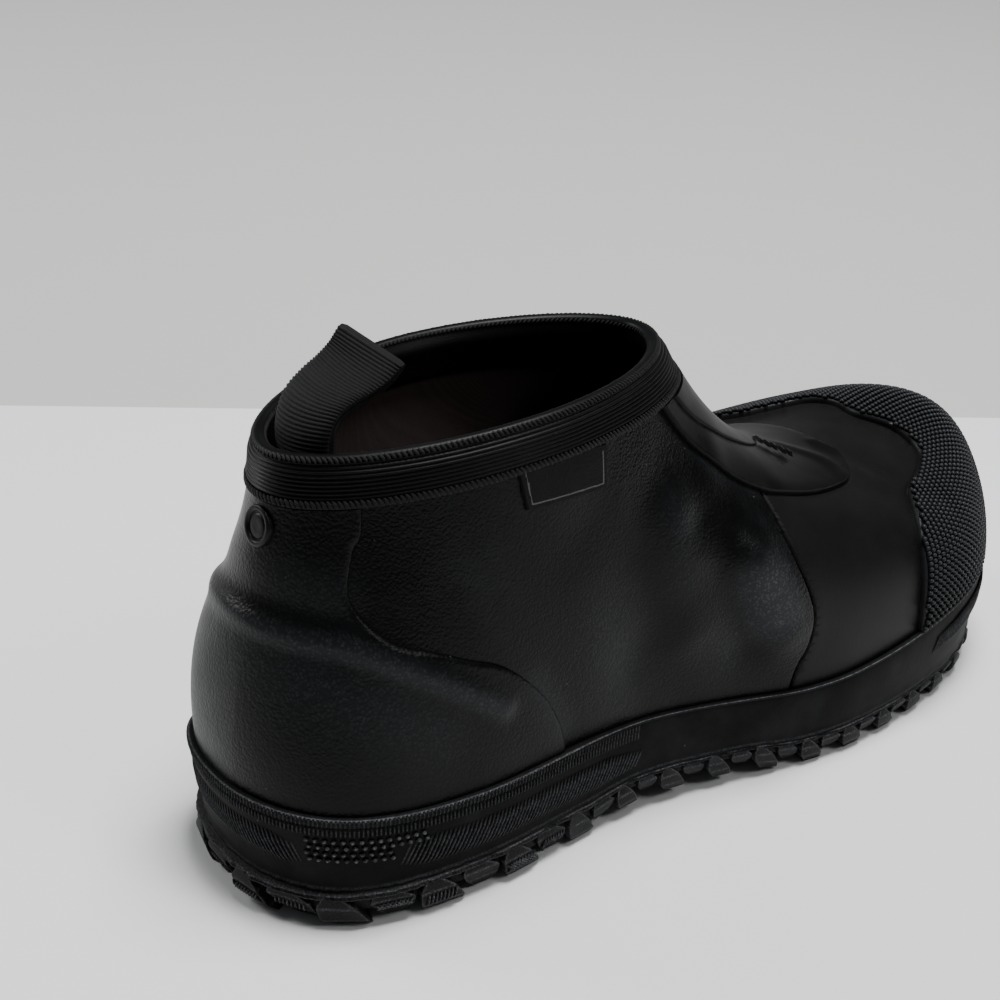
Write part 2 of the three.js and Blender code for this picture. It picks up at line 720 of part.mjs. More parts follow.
/** Adds one named piece to the shoe. */
function addPiece(name, body, material) {
  const { numProp, vertProperties, triVerts } = body.getMesh();
  const geometry = new THREE.BufferGeometry();
  const positions = [];
  for (let i = 0; i < vertProperties.length; i += numProp) {
    positions.push(vertProperties[i], vertProperties[i + 1], vertProperties[i + 2]);
  }
  geometry.setAttribute('position', new THREE.Float32BufferAttribute(positions, 3));
  geometry.setIndex(Array.from(triVerts));
  const mesh = new THREE.Mesh(geometry, material);
  mesh.name = name;
  shoe.add(mesh);
}

addPiece('outsole', makeOutsole(), materials.outsoleRubber);
addPiece('upper', makeUpper(), materials.quarterRubber);
addPiece('insole', makeInsole(), materials.lining);
addPiece('foxing', makeFoxing(), materials.foxingRubber);
addPiece('toe_guard', makeToeGuard(), materials.foxingRubber);
addPiece('heel_counter', makeCounter(), materials.quarterRubber);
addPiece('instep_gusset', makeGusset(), materials.vampRubber);
addPiece('collar_binding', makeBinding(), materials.bindingRubber);
addPiece('pull_loop', makeLoop(), materials.webbing);
addPiece('heel_button', makeButton(), materials.bindingRubber);
addPiece('side_label', makeLabel(), materials.labelWeave);

// The origin is the middle of the footprint, on the floor.
const box = new THREE.Box3().setFromObject(shoe);
shoe.position.set(-(box.min.x + box.max.x) / 2, -(box.min.y + box.max.y) / 2, -box.min.z);
shoe.updateMatrixWorld(true);

export default shoe;
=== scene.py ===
"""Finished look of a right rubber overshoe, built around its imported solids.

Lengths are in millimetres from the back of the heel until a mesh is made, with +Y to the toe, +X to
the outer side and +Z up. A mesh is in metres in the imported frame.
"""

import logging
import math
from collections.abc import Callable, Iterator, Sequence
from contextlib import contextmanager
from dataclasses import dataclass, field
from enum import Enum

import bmesh
import bpy
import numpy as np
from mathutils import Matrix, Vector


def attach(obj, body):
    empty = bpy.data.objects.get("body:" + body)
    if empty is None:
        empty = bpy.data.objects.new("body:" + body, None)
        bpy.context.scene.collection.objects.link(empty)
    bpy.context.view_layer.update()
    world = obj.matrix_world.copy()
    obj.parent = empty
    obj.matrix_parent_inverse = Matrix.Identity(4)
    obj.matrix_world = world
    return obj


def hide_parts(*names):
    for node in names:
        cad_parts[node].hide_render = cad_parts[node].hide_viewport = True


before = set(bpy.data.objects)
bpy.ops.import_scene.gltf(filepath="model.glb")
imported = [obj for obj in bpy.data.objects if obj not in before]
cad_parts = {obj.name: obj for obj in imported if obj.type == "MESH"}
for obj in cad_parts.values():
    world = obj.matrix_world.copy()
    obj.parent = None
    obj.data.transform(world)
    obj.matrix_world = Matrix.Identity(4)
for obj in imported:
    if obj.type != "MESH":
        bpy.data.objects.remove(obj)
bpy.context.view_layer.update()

LOG = logging.getLogger("overshoe")
MM = 0.001
BODY = "root"
COLUMN_STEPS = 161
RING_STEPS = 241
Array = np.ndarray
Material = bpy.types.Material
NodeTree = bpy.types.NodeTree
Object = bpy.types.Object
Socket = bpy.types.NodeSocket
Height = Callable[[Array], Array]
ACROSS = np.array([1.0, 0.0, 0.0])
AHEAD = np.array([0.0, 1.0, 0.0])
UP = np.array([0.0, 0.0, 1.0])


@dataclass(frozen=True)
class Station:
    """A column of the upper's form, in shares of the last's sizes."""

    along: float
    side: float
    rise: float
    flare: float
    drop: float
    reach: float
    lip: float


@dataclass(frozen=True)
class SolePoint:
    """A point of the sole's side view, in shares of the last's sizes."""

    along: float
    arch: float
    spring: float
    thickness: float
    foxing: float


STATIONS = (
    Station(0.000, 0.009, 0.484, 0.082, 0.339, 0.08, 0.33),
    Station(0.039, 0.267, 0.395, 0.056, 0.315, 0.01, 0.26),
    Station(0.156, 0.369, 0.395, 0.026, 0.331, 0.00, 0.17),
    Station(0.369, 0.377, 0.444, 0.017, 0.411, 0.09, 0.15),
    Station(0.616, 0.533, 0.524, 0.069, 0.565, 0.26, 0.16),
    Station(0.867, 0.421, 0.734, 0.177, 0.774, 0.34, 0.17),
    Station(1.000, -0.018, 0.984, 0.224, 0.976, 0.36, 0.20),
    Station(0.896, -0.421, 0.944, 0.129, 0.944, 0.31, 0.17),
    Station(0.715, -0.468, 0.565, 0.043, 0.629, 0.21, 0.16),
    Station(0.425, -0.335, 0.460, 0.017, 0.419, 0.07, 0.15),
    Station(0.156, -0.369, 0.468, 0.052, 0.379, 0.04, 0.17),
    Station(0.035, -0.304, 0.573, 0.103, 0.419, 0.14, 0.28),
)
SOLE_LINE = (
    SolePoint(0.000, 0.0, 0.00, 1.00, 1.00),
    SolePoint(0.126, 0.0, 0.00, 1.00, 0.93),
    SolePoint(0.283, 0.0, 0.00, 1.00, 0.90),
    SolePoint(0.360, 1.0, 0.00, 0.85, 0.88),
    SolePoint(0.470, 0.9, 0.00, 0.80, 0.83),
    SolePoint(0.550, 0.0, 0.00, 0.85, 0.79),
    SolePoint(0.780, 0.0, 0.00, 0.80, 0.93),
    SolePoint(0.880, 0.0, 0.13, 0.78, 1.06),
    SolePoint(0.950, 0.0, 0.50, 0.75, 1.16),
    SolePoint(1.000, 0.0, 1.00, 0.75, 1.26),
)
# Lines of the overlays: (along, height) in side view, (side, along) from above
SEAM_LINE = ((0.515, -0.20), (0.524, 0.20), (0.540, 0.33), (0.544, 0.42), (0.530, 0.55),
             (0.527, 0.69), (0.530, 1.30))
COUNTER_LINE = ((0.092, 1.30), (0.092, 0.86), (0.082, 0.77), (0.074, 0.70), (0.076, 0.66),
                (0.086, 0.62), (0.104, 0.585), (0.132, 0.56), (0.160, 0.53), (0.189, 0.50),
                (0.215, 0.45), (0.241, 0.38), (0.258, 0.30), (0.264, 0.22), (0.264, 0.00))
GUARD_LINE = ((0.00, 0.836), (0.25, 0.848), (0.46, 0.838), (0.59, 0.795), (0.65, 0.768),
              (0.84, 0.735), (0.97, 0.718), (1.40, 0.690))
GUSSET_LINE = ((0.47, 0.380), (0.54, 0.450), (0.61, 0.528), (0.61, 0.600), (0.57, 0.655),
               (0.50, 0.700), (0.36, 0.725), (0.18, 0.733), (0.00, 0.735))
FOLD_LINE = ((0.42, 0.380), (0.44, 0.460), (0.36, 0.550), (0.24, 0.600), (0.10, 0.618),
             (0.00, 0.622))
LOOP_LINE = ((0.00, -0.20), (0.00, -0.02), (0.03, 0.09), (0.10, 0.18), (0.21, 0.24),
             (0.33, 0.285), (0.44, 0.34), (0.53, 0.41))


class View(Enum):
    """The view in which a line or a crease is drawn."""

    SIDE = (1, 2)
    PLAN = (0, 1)


class Side(Enum):
    """The side of the shoe that a crease lies on."""

    OUTER = 1
    INNER = -1
    BOTH = 0


@dataclass(frozen=True)
class Crease:
    """A soft ridge (height above 0) or trough (below 0) along a line, in the shoe's own sizes."""

    line: tuple[tuple[float, float], ...]
    width: float
    height: float
    side: Side = Side.OUTER
    view: View = View.SIDE


# Side view: (share of the sole's length, share of the collar's height)
CREASES = (
    Crease(((0.487, 0.56), (0.503, 0.47), (0.515, 0.38)), 8.5, 2.6),
    Crease(((0.428, 0.66), (0.450, 0.52), (0.470, 0.36)), 8.0, -1.7),
    Crease(((0.395, 0.70), (0.390, 0.55), (0.405, 0.42)), 8.0, 1.1),
    Crease(((0.350, 0.62), (0.365, 0.48), (0.345, 0.38)), 9.0, -1.0),
    Crease(((0.300, 0.74), (0.330, 0.70), (0.375, 0.77)), 9.0, -0.7),
    Crease(((0.470, 0.78), (0.440, 0.70), (0.425, 0.60)), 7.0, 0.7),
    Crease(((0.285, 0.60), (0.300, 0.45), (0.320, 0.32)), 10.0, 0.6),
    Crease(((0.490, 0.60), (0.500, 0.42)), 9.0, 1.4, Side.INNER),
    Crease(((0.430, 0.62), (0.450, 0.42)), 9.0, -1.2, Side.INNER),
    Crease(((0.370, 0.66), (0.350, 0.45)), 9.0, -0.8, Side.INNER),
    Crease(((0.000, 0.625), (0.030, 0.610), (0.064, 0.595), (0.110, 0.535), (0.150, 0.475),
            (0.190, 0.410)), 3.2, 1.1, Side.BOTH),
    Crease(((0.000, 0.675), (0.035, 0.660), (0.070, 0.640)), 5.0, -0.6, Side.BOTH),
    Crease(((0.155, 0.722), (0.430, 0.742), (0.640, 0.774)), 2.6, 0.7, Side.OUTER, View.PLAN),
    Crease(((0.560, 0.700), (0.680, 0.745), (0.740, 0.800)), 5.0, -0.5, Side.OUTER, View.PLAN),
    Crease(((0.150, 0.660), (0.330, 0.690), (0.480, 0.690)), 3.0, 0.6, Side.OUTER, View.PLAN),
    Crease(((0.620, 0.560), (0.720, 0.620), (0.800, 0.680)), 6.0, 0.6, Side.OUTER, View.PLAN),
)


@dataclass(frozen=True)
class PaintedHighlight:
    """A soft patch of painted highlight along a side-view line, in the shoe's own sizes."""

    line: tuple[tuple[float, float], ...]
    width: float
    strength: float
    side: Side = Side.OUTER
    view: View = View.SIDE


# Painted highlights: pale patches laid where light catches the heel's edge, its ridge and the bulges of the
# quarters
PAINTED_HIGHLIGHTS = (
    PaintedHighlight(((0.488, 0.50), (0.499, 0.42)), 8.0, 1.0),
    PaintedHighlight(((0.440, 0.38), (0.450, 0.33)), 10.0, 0.25),
    PaintedHighlight(((0.395, 0.70), (0.392, 0.55)), 8.0, 0.18),
    PaintedHighlight(((0.415, 0.92), (0.465, 0.78), (0.520, 0.70)), 4.0, 0.40),
    PaintedHighlight(((0.320, 0.48), (0.330, 0.36)), 14.0, 0.28),
    PaintedHighlight(((0.000, 0.615), (0.030, 0.600), (0.064, 0.585), (0.110, 0.525), (0.150, 0.465),
           (0.190, 0.400)), 3.6, 0.55, Side.BOTH),
    PaintedHighlight(((0.020, 0.54), (0.075, 0.47), (0.120, 0.40)), 13.0, 0.28),
    PaintedHighlight(((0.020, 0.50), (0.010, 0.30)), 13.0, 0.55, Side.INNER),
    PaintedHighlight(((0.020, 0.72), (0.055, 0.70)), 8.0, 0.22),
    PaintedHighlight(((0.230, 0.42), (0.258, 0.30)), 6.0, 0.28),
    PaintedHighlight(((0.470, 0.55), (0.490, 0.42)), 13.0, 0.5, Side.INNER),
    PaintedHighlight(((0.150, 0.50), (0.300, 0.45)), 16.0, 0.3, Side.INNER),
)


def catmull_rom(a: Array, b: Array, c: Array, d: Array, t: Array) -> Array:
    """Gives the point of a Catmull-Rom curve at t between b and c."""
    return 0.5 * (2 * b + (c - a) * t + (2 * a - 5 * b + 4 * c - d) * t ** 2
                  + (3 * b - a - 3 * c + d) * t ** 3)


def smooth_line(points: Sequence[tuple[float, float]], steps: int = 8) -> Array:
    """Runs a Catmull-Rom curve through points.

    Args:
        points: The points that it passes.
        steps: Samples for each span.

    Returns:
        The samples, one row each.
    """
    known = np.array(points, float)
    ends = np.vstack([2 * known[0] - known[1], known, 2 * known[-1] - known[-2]])
    t = np.arange(steps)[:, None] / steps
    spans = [catmull_rom(a, b, c, d, t) for a, b, c, d in zip(ends, ends[1:], ends[2:], ends[3:])]
    return np.vstack([*spans, known[-1:]])


def run_length(line: Array) -> Array:
    """Gives the distance along a line to each of its points."""
    return np.concatenate([[0], np.cumsum(np.linalg.norm(np.diff(line, axis=0), axis=1))])


def units(vectors: Array) -> Array:
    """Gives vectors, in rows, at a length of one."""
    return vectors / np.linalg.norm(vectors, axis=-1, keepdims=True)


def line_distance(points: Array, line: Array) -> Array:
    """Gives the distance in a plane from each point to a line of segments.

    Args:
        points: Rows of two coordinates.
        line: Corners of the line, as rows.

    Returns:
        One distance for each point.
    """
    nearest = np.full(len(points), np.inf)
    for start, end in zip(line, line[1:]):
        along = end - start
        t = np.clip((points - start) @ along / max(along @ along, 1e-12), 0, 1)
        nearest = np.minimum(nearest, np.hypot(*(points - start - t[:, None] * along).T))
    return nearest


def inside(points: Array, polygon: Array) -> Array:
    """Says which points of a plane lie in a polygon, by counting crossings."""
    x, y = points.T
    crossed = np.zeros(len(points), bool)
    for (x1, y1), (x2, y2) in zip(polygon, np.roll(polygon, -1, axis=0)):
        if y1 == y2:
            continue
        spans = (y1 > y) != (y2 > y)
        crossed ^= spans & (x < (x2 - x1) * (y - y1) / (y2 - y1) + x1)
    return crossed


@dataclass(frozen=True)
class Region:
    """Part of the form inside an outline, with the stretch of it that is a real edge."""

    view: View
    edge: Array
    corners: Array = field(default_factory=lambda: np.zeros((0, 2)))

    def depth(self, points: Array) -> Array:
        """Gives each point's distance inside the edge, below 0 outside it."""
        flat = points[:, list(self.view.value)]
        outline = np.vstack([self.edge, self.corners])
        return line_distance(flat, self.edge) * np.where(inside(flat, outline), 1, -1)


@dataclass(frozen=True)
class Last:
    """The form that every piece is cut from: a ring of cubic columns from the sole to the collar."""

    sole_length: float = 318.0
    ball_width: float = 116.0
    outer_share: float = 0.533
    inner_share: float = 0.468
    sole_thickness: float = 12.0
    lug_depth: float = 5.0
    arch_lift: float = 3.2
    toe_spring: float = 16.0
    foxing_height: float = 36.0
    collar_height: float = 136.0
    collar_rise: tuple[float, float, float] = (0.949, 1.001, 1.028)
    collar_length: float = 133.0
    collar_width: float = 80.0
    collar_setback: float = 16.0
    collar_offset: float = 2.2
    collar_power: float = 1.83
    column_height: float = 124.0
    upper_inset: float = 1.2
    heel_x: float = -3.24
    heel_y: float = -159.13

    @staticmethod
    def between(at: Array, values: Array, x: Array) -> Array:
        """Gives a value along an open table by a monotone cubic that keeps flat runs flat."""
        slopes = np.diff(values) / np.diff(at)
        tangents = np.zeros(len(at))
        tangents[0], tangents[-1] = slopes[0], slopes[-1]
        p, q = slopes[:-1], slopes[1:]
        total = np.where(p + q == 0, 1, p + q)
        tangents[1:-1] = np.where(p * q <= 0, 0, 2 * p * q / total)
        x = np.clip(x, at[0], at[-1])
        i = np.clip(np.searchsorted(at, x) - 1, 0, len(at) - 2)
        h = at[i + 1] - at[i]
        t = (x - at[i]) / h
        rise = 3 * t ** 2 - 2 * t ** 3
        return (values[i] * (1 - rise) + values[i + 1] * rise
                + h * (tangents[i] * (t ** 3 - 2 * t ** 2 + t) + tangents[i + 1] * (t ** 3 - t ** 2)))

    def ring(self, key: str, u: Array) -> Array:
        """Gives a station's value round the closed table, by a Catmull-Rom curve."""
        table = np.array([getattr(row, key) for row in STATIONS])
        n = len(table)
        s = (u % 1.0) * n
        i = np.floor(s).astype(int)
        return catmull_rom(*(table[(i + k) % n] for k in (-1, 0, 1, 2)), s - i)

    def sole(self, key: str, y: Array) -> Array:
        """Gives a value of the sole's side view."""
        at = np.array([row.along for row in SOLE_LINE])
        values = np.array([getattr(row, key) for row in SOLE_LINE])
        return self.between(at, values, np.asarray(y, float) / self.sole_length)

    def sole_bottom(self, y: Array) -> Array:
        """Gives the height of the lug tips at y."""
        return self.arch_lift * self.sole("arch", y) + self.toe_spring * self.sole("spring", y)

    def sole_top(self, y: Array) -> Array:
        """Gives the height of the sole's top at y."""
        return self.sole_bottom(y) + self.sole_thickness * self.sole("thickness", y)

    def foxing_top(self, y: Array) -> Array:
        """Gives the height of the foxing's top edge at y."""
        return self.foxing_height * self.sole("foxing", y)

    def collar_top(self, y: Array) -> Array:
        """Gives the height of the collar's top line at y."""
        at = (np.asarray(y, float) - self.collar_setback) / self.collar_length
        return self.collar_height * self.between(np.array([0.0, 0.5, 1.0]), np.array(self.collar_rise), at)

    def plan(self, u: Array) -> Array:
        """Gives the sole's outline from above at u."""
        return np.stack([self.ball_width * self.ring("side", u),
                         self.sole_length * self.ring("along", u)], -1)

    def outline(self, u: Array) -> tuple[Array, Array]:
        """Gives the outline seen from above."""
        step = 1e-3
        tangent = units(self.plan(u + step) - self.plan(u - step))
        return self.plan(u), np.stack([tangent[..., 1], -tangent[..., 0]], -1)

    def collar(self, u: Array) -> Array:
        """Gives the collar's ring."""
        angle = 2 * np.pi * u
        x, y = (np.sign(value) * np.abs(value) ** (2 / self.collar_power)
                for value in (np.sin(angle), np.cos(angle)))
        y = self.collar_setback + self.collar_length / 2 * (1 - y)
        return np.stack([-self.collar_offset + self.collar_width / 2 * x, y, self.collar_top(y)], -1)

    def bare(self, u: Array, v: Array) -> Array:
        """Gives the form without its creases."""
        point, normal = self.outline(u)
        edge = np.concatenate([point - normal * self.upper_inset,
                               self.sole_top(point[..., 1])[..., None]], -1)
        collar = self.collar(u)
        flare = self.ball_width * self.ring("flare", u)[..., None]
        shoulder = edge + np.concatenate(
            [normal * flare, self.column_height * self.ring("rise", u)[..., None]], -1)
        reach = self.ring("reach", u)[..., None]
        neck = collar + (np.concatenate([edge[..., :2], collar[..., 2:]], -1) - collar) * reach
        neck = neck - np.stack([0 * u, 0 * u, self.column_height * self.ring("drop", u)], -1)
        t = v[..., None]
        return ((1 - t) ** 3 * edge + 3 * (1 - t) ** 2 * t * shoulder
                + 3 * (1 - t) * t ** 2 * neck + t ** 3 * collar)

    def normal(self, u: Array, v: Array) -> Array:
        """Gives the form's outward normals."""
        du, dv = 1 / 1500, 1 / 300
        low, high = np.clip(v - dv, 0, 1), np.clip(v + dv, 0, 1)
        across = self.bare(u + du, v) - self.bare(u - du, v)
        return units(np.cross(across, self.bare(u, high) - self.bare(u, low)))

    def near(self, points: Array, mark: "Crease | PaintedHighlight", line: Array) -> Array:
        """Gives how near points lie to a crease's or painted highlight's line, on its side of the shoe."""
        flat = points[:, list(mark.view.value)]
        share = np.exp(-(line_distance(flat, line) / mark.width) ** 2)
        return share * (mark.side.value * points[:, 0] > -self.collar_offset)

    def creased(self, points: Array) -> Array:
        """Gives how far the creases lift or sink the form."""
        lift = np.zeros(len(points))
        for crease in CREASES:
            scale = ((self.sole_length, self.collar_height) if crease.view is View.SIDE
                     else (self.outer_half, self.sole_length))
            line = smooth_line(np.array(crease.line) * scale, 5)
            lift += crease.height * self.near(points, crease, line)
        return lift

    def painted_highlight_amount(self, points: Array) -> Array:
        """Gives how much painted highlight lies on the form."""
        amount = np.zeros(len(points))
        for highlight in PAINTED_HIGHLIGHTS:
            line = np.array(highlight.line) * (self.sole_length, self.collar_height)
            amount = np.maximum(amount, highlight.strength * self.near(points, highlight, line))
        return amount

    def skin(self, u: Array, v: Array, offset: Array | float, crease: float = 1.0) -> Array:
        """Gives points off the form.

        Args:
            u: Places round the shoe.
            v: Places up the columns.
            offset: Distance out along the normal.
            crease: Share of the creases that the points follow.

        Returns:
            The points, in a row each.
        """
        points = self.bare(u, v)
        lift = self.creased(points.reshape(-1, 3)).reshape(u.shape) if crease else 0.0
        out = np.broadcast_to(offset + crease * lift, u.shape)
        return points + self.normal(u, v) * out[..., None]

    def share_at(self, u: Array, height: Height) -> Array:
        """Gives the v at which columns first reach a height."""
        v = np.linspace(0, 1, COLUMN_STEPS)
        grid = self.bare(*(a.ravel() for a in np.meshgrid(u, v, indexing="ij")))
        over = (grid[:, 2] - height(grid[:, 1])).reshape(len(u), len(v))
        over = np.maximum.accumulate(over, axis=1) + 1e-9 * np.arange(len(v))
        return np.array([np.interp(0, row, v) for row in over])

    @property
    def outer_half(self) -> float:
        """Half width of the ball on its outer side."""
        return self.outer_share * self.ball_width

    @property
    def inner_half(self) -> float:
        """Half width of the ball on its inner side."""
        return self.inner_share * self.ball_width

    @property
    def heel(self) -> Array:
        """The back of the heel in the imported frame, in millimetres."""
        return np.array([self.heel_x, self.heel_y, 0.0])

    def side_region(self, line: Sequence[tuple[float, float]], front: bool) -> Region:
        """Makes a region that a side-view line cuts off."""
        edge = smooth_line([(a * self.sole_length, h * self.collar_height) for a, h in line])
        far = 2 * self.sole_length if front else -self.sole_length
        return Region(View.SIDE, edge, np.array([[far, edge[-1][1]], [far, edge[0][1]]]))

    def plan_region(self, line: Sequence[tuple[float, float]], inner: float, open_front: bool) -> Region:
        """Makes the region within a line seen from above and its mirror image."""
        half = [(s * self.outer_half, a * self.sole_length) for s, a in line]
        other = [(-s * inner, a * self.sole_length) for s, a in line]
        if not open_front:
            return Region(View.PLAN, smooth_line([*half, *other[-2::-1]]))
        edge = smooth_line([*other[:0:-1], *half])
        front = 2 * self.sole_length
        return Region(View.PLAN, edge, np.array([[edge[-1][0], front], [edge[0][0], front]]))

    def places_of(self, obj: Object) -> Array:
        """Gives an object's vertices in millimetres from the back of the heel."""
        flat = np.empty(3 * len(obj.data.vertices), np.float32)
        obj.data.vertices.foreach_get("co", flat)
        return flat.reshape(-1, 3) / MM - self.heel

    def face_centres(self, obj: Object) -> Array:
        """Gives an object's face centres in millimetres from the back of the heel."""
        return np.array([p.center[:] for p in obj.data.polygons]) / MM - self.heel

    def metres(self, points: Array) -> Array:
        """Takes points from the heel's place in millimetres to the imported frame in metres."""
        return (points + self.heel) * MM


LAST = Last()


def new_object(name: str, vertices: Array, faces: Sequence[Sequence[int]],
               material: Material, smooth: bool = True) -> Object:
    """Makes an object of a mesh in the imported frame.

    Args:
        name: The piece's name.
        vertices: Points in millimetres from the back of the heel.
        faces: Corner numbers of each face.
        material: The finish of all its faces.
        smooth: Whether its faces are shaded smooth.

    Returns:
        The object, linked to the scene.
    """
    mesh = bpy.data.meshes.new(name)
    mesh.from_pydata(LAST.metres(np.asarray(vertices)).tolist(), [], [list(map(int, f)) for f in faces])
    mesh.validate()
    mesh.materials.append(material)
    mesh.polygons.foreach_set("use_smooth", [smooth] * len(mesh.polygons))
    obj = bpy.data.objects.new(name, mesh)
    bpy.context.scene.collection.objects.link(obj)
    return obj


def paint(obj: Object, name: str, values: Array) -> None:
    """Writes a value on each vertex for the finish to read."""
    attribute = obj.data.attributes.new(name, "FLOAT", "POINT")
    attribute.data.foreach_set("value", np.asarray(values, np.float32))


def paint_faces(obj: Object, numbers: Array, *materials: Material) -> None:
    """Gives faces further finishes."""
    for material in materials:
        obj.data.materials.append(material)
    obj.data.polygons.foreach_set("material_index", np.asarray(numbers, np.int32))


def paint_highlights(obj: Object) -> None:
    """Writes the placed painted highlights on each vertex, as the pale mark that the finish reads."""
    paint(obj, "wear_and_highlight", LAST.painted_highlight_amount(LAST.places_of(obj)))


def band_faces(rows: int, columns: int, closed: bool = False) -> list[list[int]]:
    """Gives the faces between closed rings of vertices."""
    faces = []
    for j in range(rows if closed else rows - 1):
        low, high = j * columns, (j + 1) % rows * columns
        faces += [[low + i, low + (i + 1) % columns, high + (i + 1) % columns, high + i]
                  for i in range(columns)]
    return faces


def ring_object(name: str, profile: Array, material: Material) -> Object:
    """Makes a closed band from a section that runs round the shoe.

    Args:
        name: The piece's name.
        profile: Points by section step, then by place round the shoe, then by axis; both close.
        material: Its finish.

    Returns:
        The object.
    """
    faces = band_faces(*profile.shape[:2], closed=True)
    return new_object(name, profile.reshape(-1, 3), faces, material)


@contextmanager
def mesh_edit(obj: Object) -> Iterator[bmesh.types.BMesh]:
    """Opens an object's mesh for an edit and writes it back."""
    bm = bmesh.new()
    bm.from_mesh(obj.data)
    yield bm
    bm.to_mesh(obj.data)
    bm.free()


def settle(obj: Object, slot: str, *nodes: str) -> None:
    """Puts a piece on the shoe's body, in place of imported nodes."""
    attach(obj, BODY)
    if nodes:
        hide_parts(*nodes)
    LOG.info("%s: %d vertices", obj.name, len(obj.data.vertices))


def level_line(height: float) -> Height:
    """Gives a height line that stays level."""
    return lambda y: 0 * y + height


class Patch:
    """A grid over part of the form that is cut along region edges and lifted into a closed shell.

    While it is cut, a vertex holds its u, its share between the low and high line, and its depth
    inside the region of the cut.
    """

    def __init__(self, span: tuple[float, float], low: Height, high: Height, columns: int,
                 rows: int) -> None:
        """Lays out the grid."""
        self.span = span
        self.closed = span[1] - span[0] > 0.999
        self.table = np.linspace(*span, RING_STEPS)
        self.low = LAST.share_at(self.table, low)
        self.high = LAST.share_at(self.table, high)
        self.bm = bmesh.new()
        u = np.linspace(*span, columns + 1)
        grid = [[self.bm.verts.new((a, b, 0)) for a in u] for b in np.linspace(0, 1, rows + 1)]
        for lower, upper in zip(grid, grid[1:]):
            for i in range(columns):
                self.bm.faces.new((lower[i], lower[i + 1], upper[i + 1], upper[i]))
        self.bm.verts.index_update()

    def places(self) -> tuple[Array, Array]:
        """Gives the u and v of every vertex."""
        co = np.array([v.co[:] for v in self.bm.verts])
        low, high = (np.interp(co[:, 0], self.table, t) for t in (self.low, self.high))
        return co[:, 0], low + (high - low) * co[:, 1]

    def depth(self, region: Region) -> Array:
        """Gives every vertex's depth inside a region."""
        return region.depth(LAST.bare(*self.places()))

    def cut(self, region: Region, levels: Sequence[float], trim: bool = False) -> None:
        """Adds edge lines at depths inside a region.

        Args:
            region: The region.
            levels: The depths, in millimetres.
            trim: Whether what lies outside the first of them is taken away.
        """
        for number, level in enumerate(levels):
            for vertex, value in zip(self.bm.verts, self.depth(region)):
                vertex.co.z = value
            geometry = [*self.bm.verts, *self.bm.edges, *self.bm.faces]
            bmesh.ops.bisect_plane(
                self.bm, geom=geometry, dist=1e-5, plane_co=(0, 0, level), plane_no=(0, 0, 1),
                clear_inner=trim and number == 0)
        self.bm.verts.index_update()

    def shell(self, name: str, top: Array, base: float, material: Material) -> Object:
        """Lifts the patch off the form and closes it below.

        Args:
            name: The piece's name.
            top: Offset of every vertex's upper copy.
            base: Offset of the lower copies.
            material: Its finish.

        Returns:
            The object.
        """
        u, v = self.places()
        n = len(u)
        vertices = np.vstack([LAST.skin(u, v, top), LAST.skin(u, v, base)])
        faces = [[v.index for v in face.verts] for face in self.bm.faces]
        under = [[k + n for k in reversed(face)] for face in faces]
        walls = []
        for edge in self.bm.edges:
            if len(edge.link_loops) != 1:
                continue
            loop = edge.link_loops[0]
            a, b = loop.vert, loop.link_loop_next.vert
            on_join = all(min(abs(p.co.x - s) for s in self.span) < 1e-7 for p in (a, b))
            if not (self.closed and on_join):
                walls.append([b.index, a.index, a.index + n, b.index + n])
        self.bm.free()
        obj = new_object(name, vertices, [*faces, *under, *walls], material)
        if self.closed:
            with mesh_edit(obj) as bm:
                bmesh.ops.remove_doubles(bm, verts=bm.verts, dist=2e-6)
        sharpen(obj)
        return obj


def sharpen(obj: Object, degrees: float = 50.0) -> None:
    """Keeps edges sharper than an angle crisp on a smooth mesh."""
    obj.data.set_sharp_from_angle(angle=math.radians(degrees))


def rounded(depth: Array, radius: float) -> Array:
    """Gives a quarter-round rise from 0 at an edge to 1 at a radius inside it."""
    t = np.clip(depth / radius, 0, 1)
    return np.sqrt(np.clip(1 - (1 - t) ** 2, 0, 1))


# Finishes


class NodeBench:
    """Short ways to add nodes and links to a tree."""

    def __init__(self, tree: NodeTree) -> None:
        """Takes the tree to work on."""
        self.tree = tree

    def add(self, kind: str, settings: dict[str, object] | None = None,
            **inputs: object) -> bpy.types.Node:
        """Adds a node.

        Args:
            kind: The node's type.
            settings: Properties of the node.
            inputs: Values or output sockets for its inputs, with _ for a space in their names.

        Returns:
            The node.
        """
        node = self.tree.nodes.new(kind)
        for key, value in (settings or {}).items():
            setattr(node, key, value)
        for key, value in inputs.items():
            socket = node.inputs[int(key[1:])] if key[0] == "i" and key[1:].isdigit() \
                else node.inputs[key.replace("_", " ")]
            if isinstance(value, Socket):
                self.tree.links.new(value, socket)
            else:
                socket.default_value = value
        return node

    def math(self, operation: str, a: object, b: object = 0.0, clamp: bool = False) -> Socket:
        """Adds a math node and gives its output."""
        node = self.add("ShaderNodeMath", {"operation": operation, "use_clamp": clamp}, i0=a, i1=b)
        return node.outputs[0]

    def blend(self, share: object, a: object, b: object) -> Socket:
        """Mixes two colours by a share and gives the output."""
        node = self.add("ShaderNodeMix", {"data_type": "RGBA"}, i0=share, i6=a, i7=b)
        return node.outputs[2]


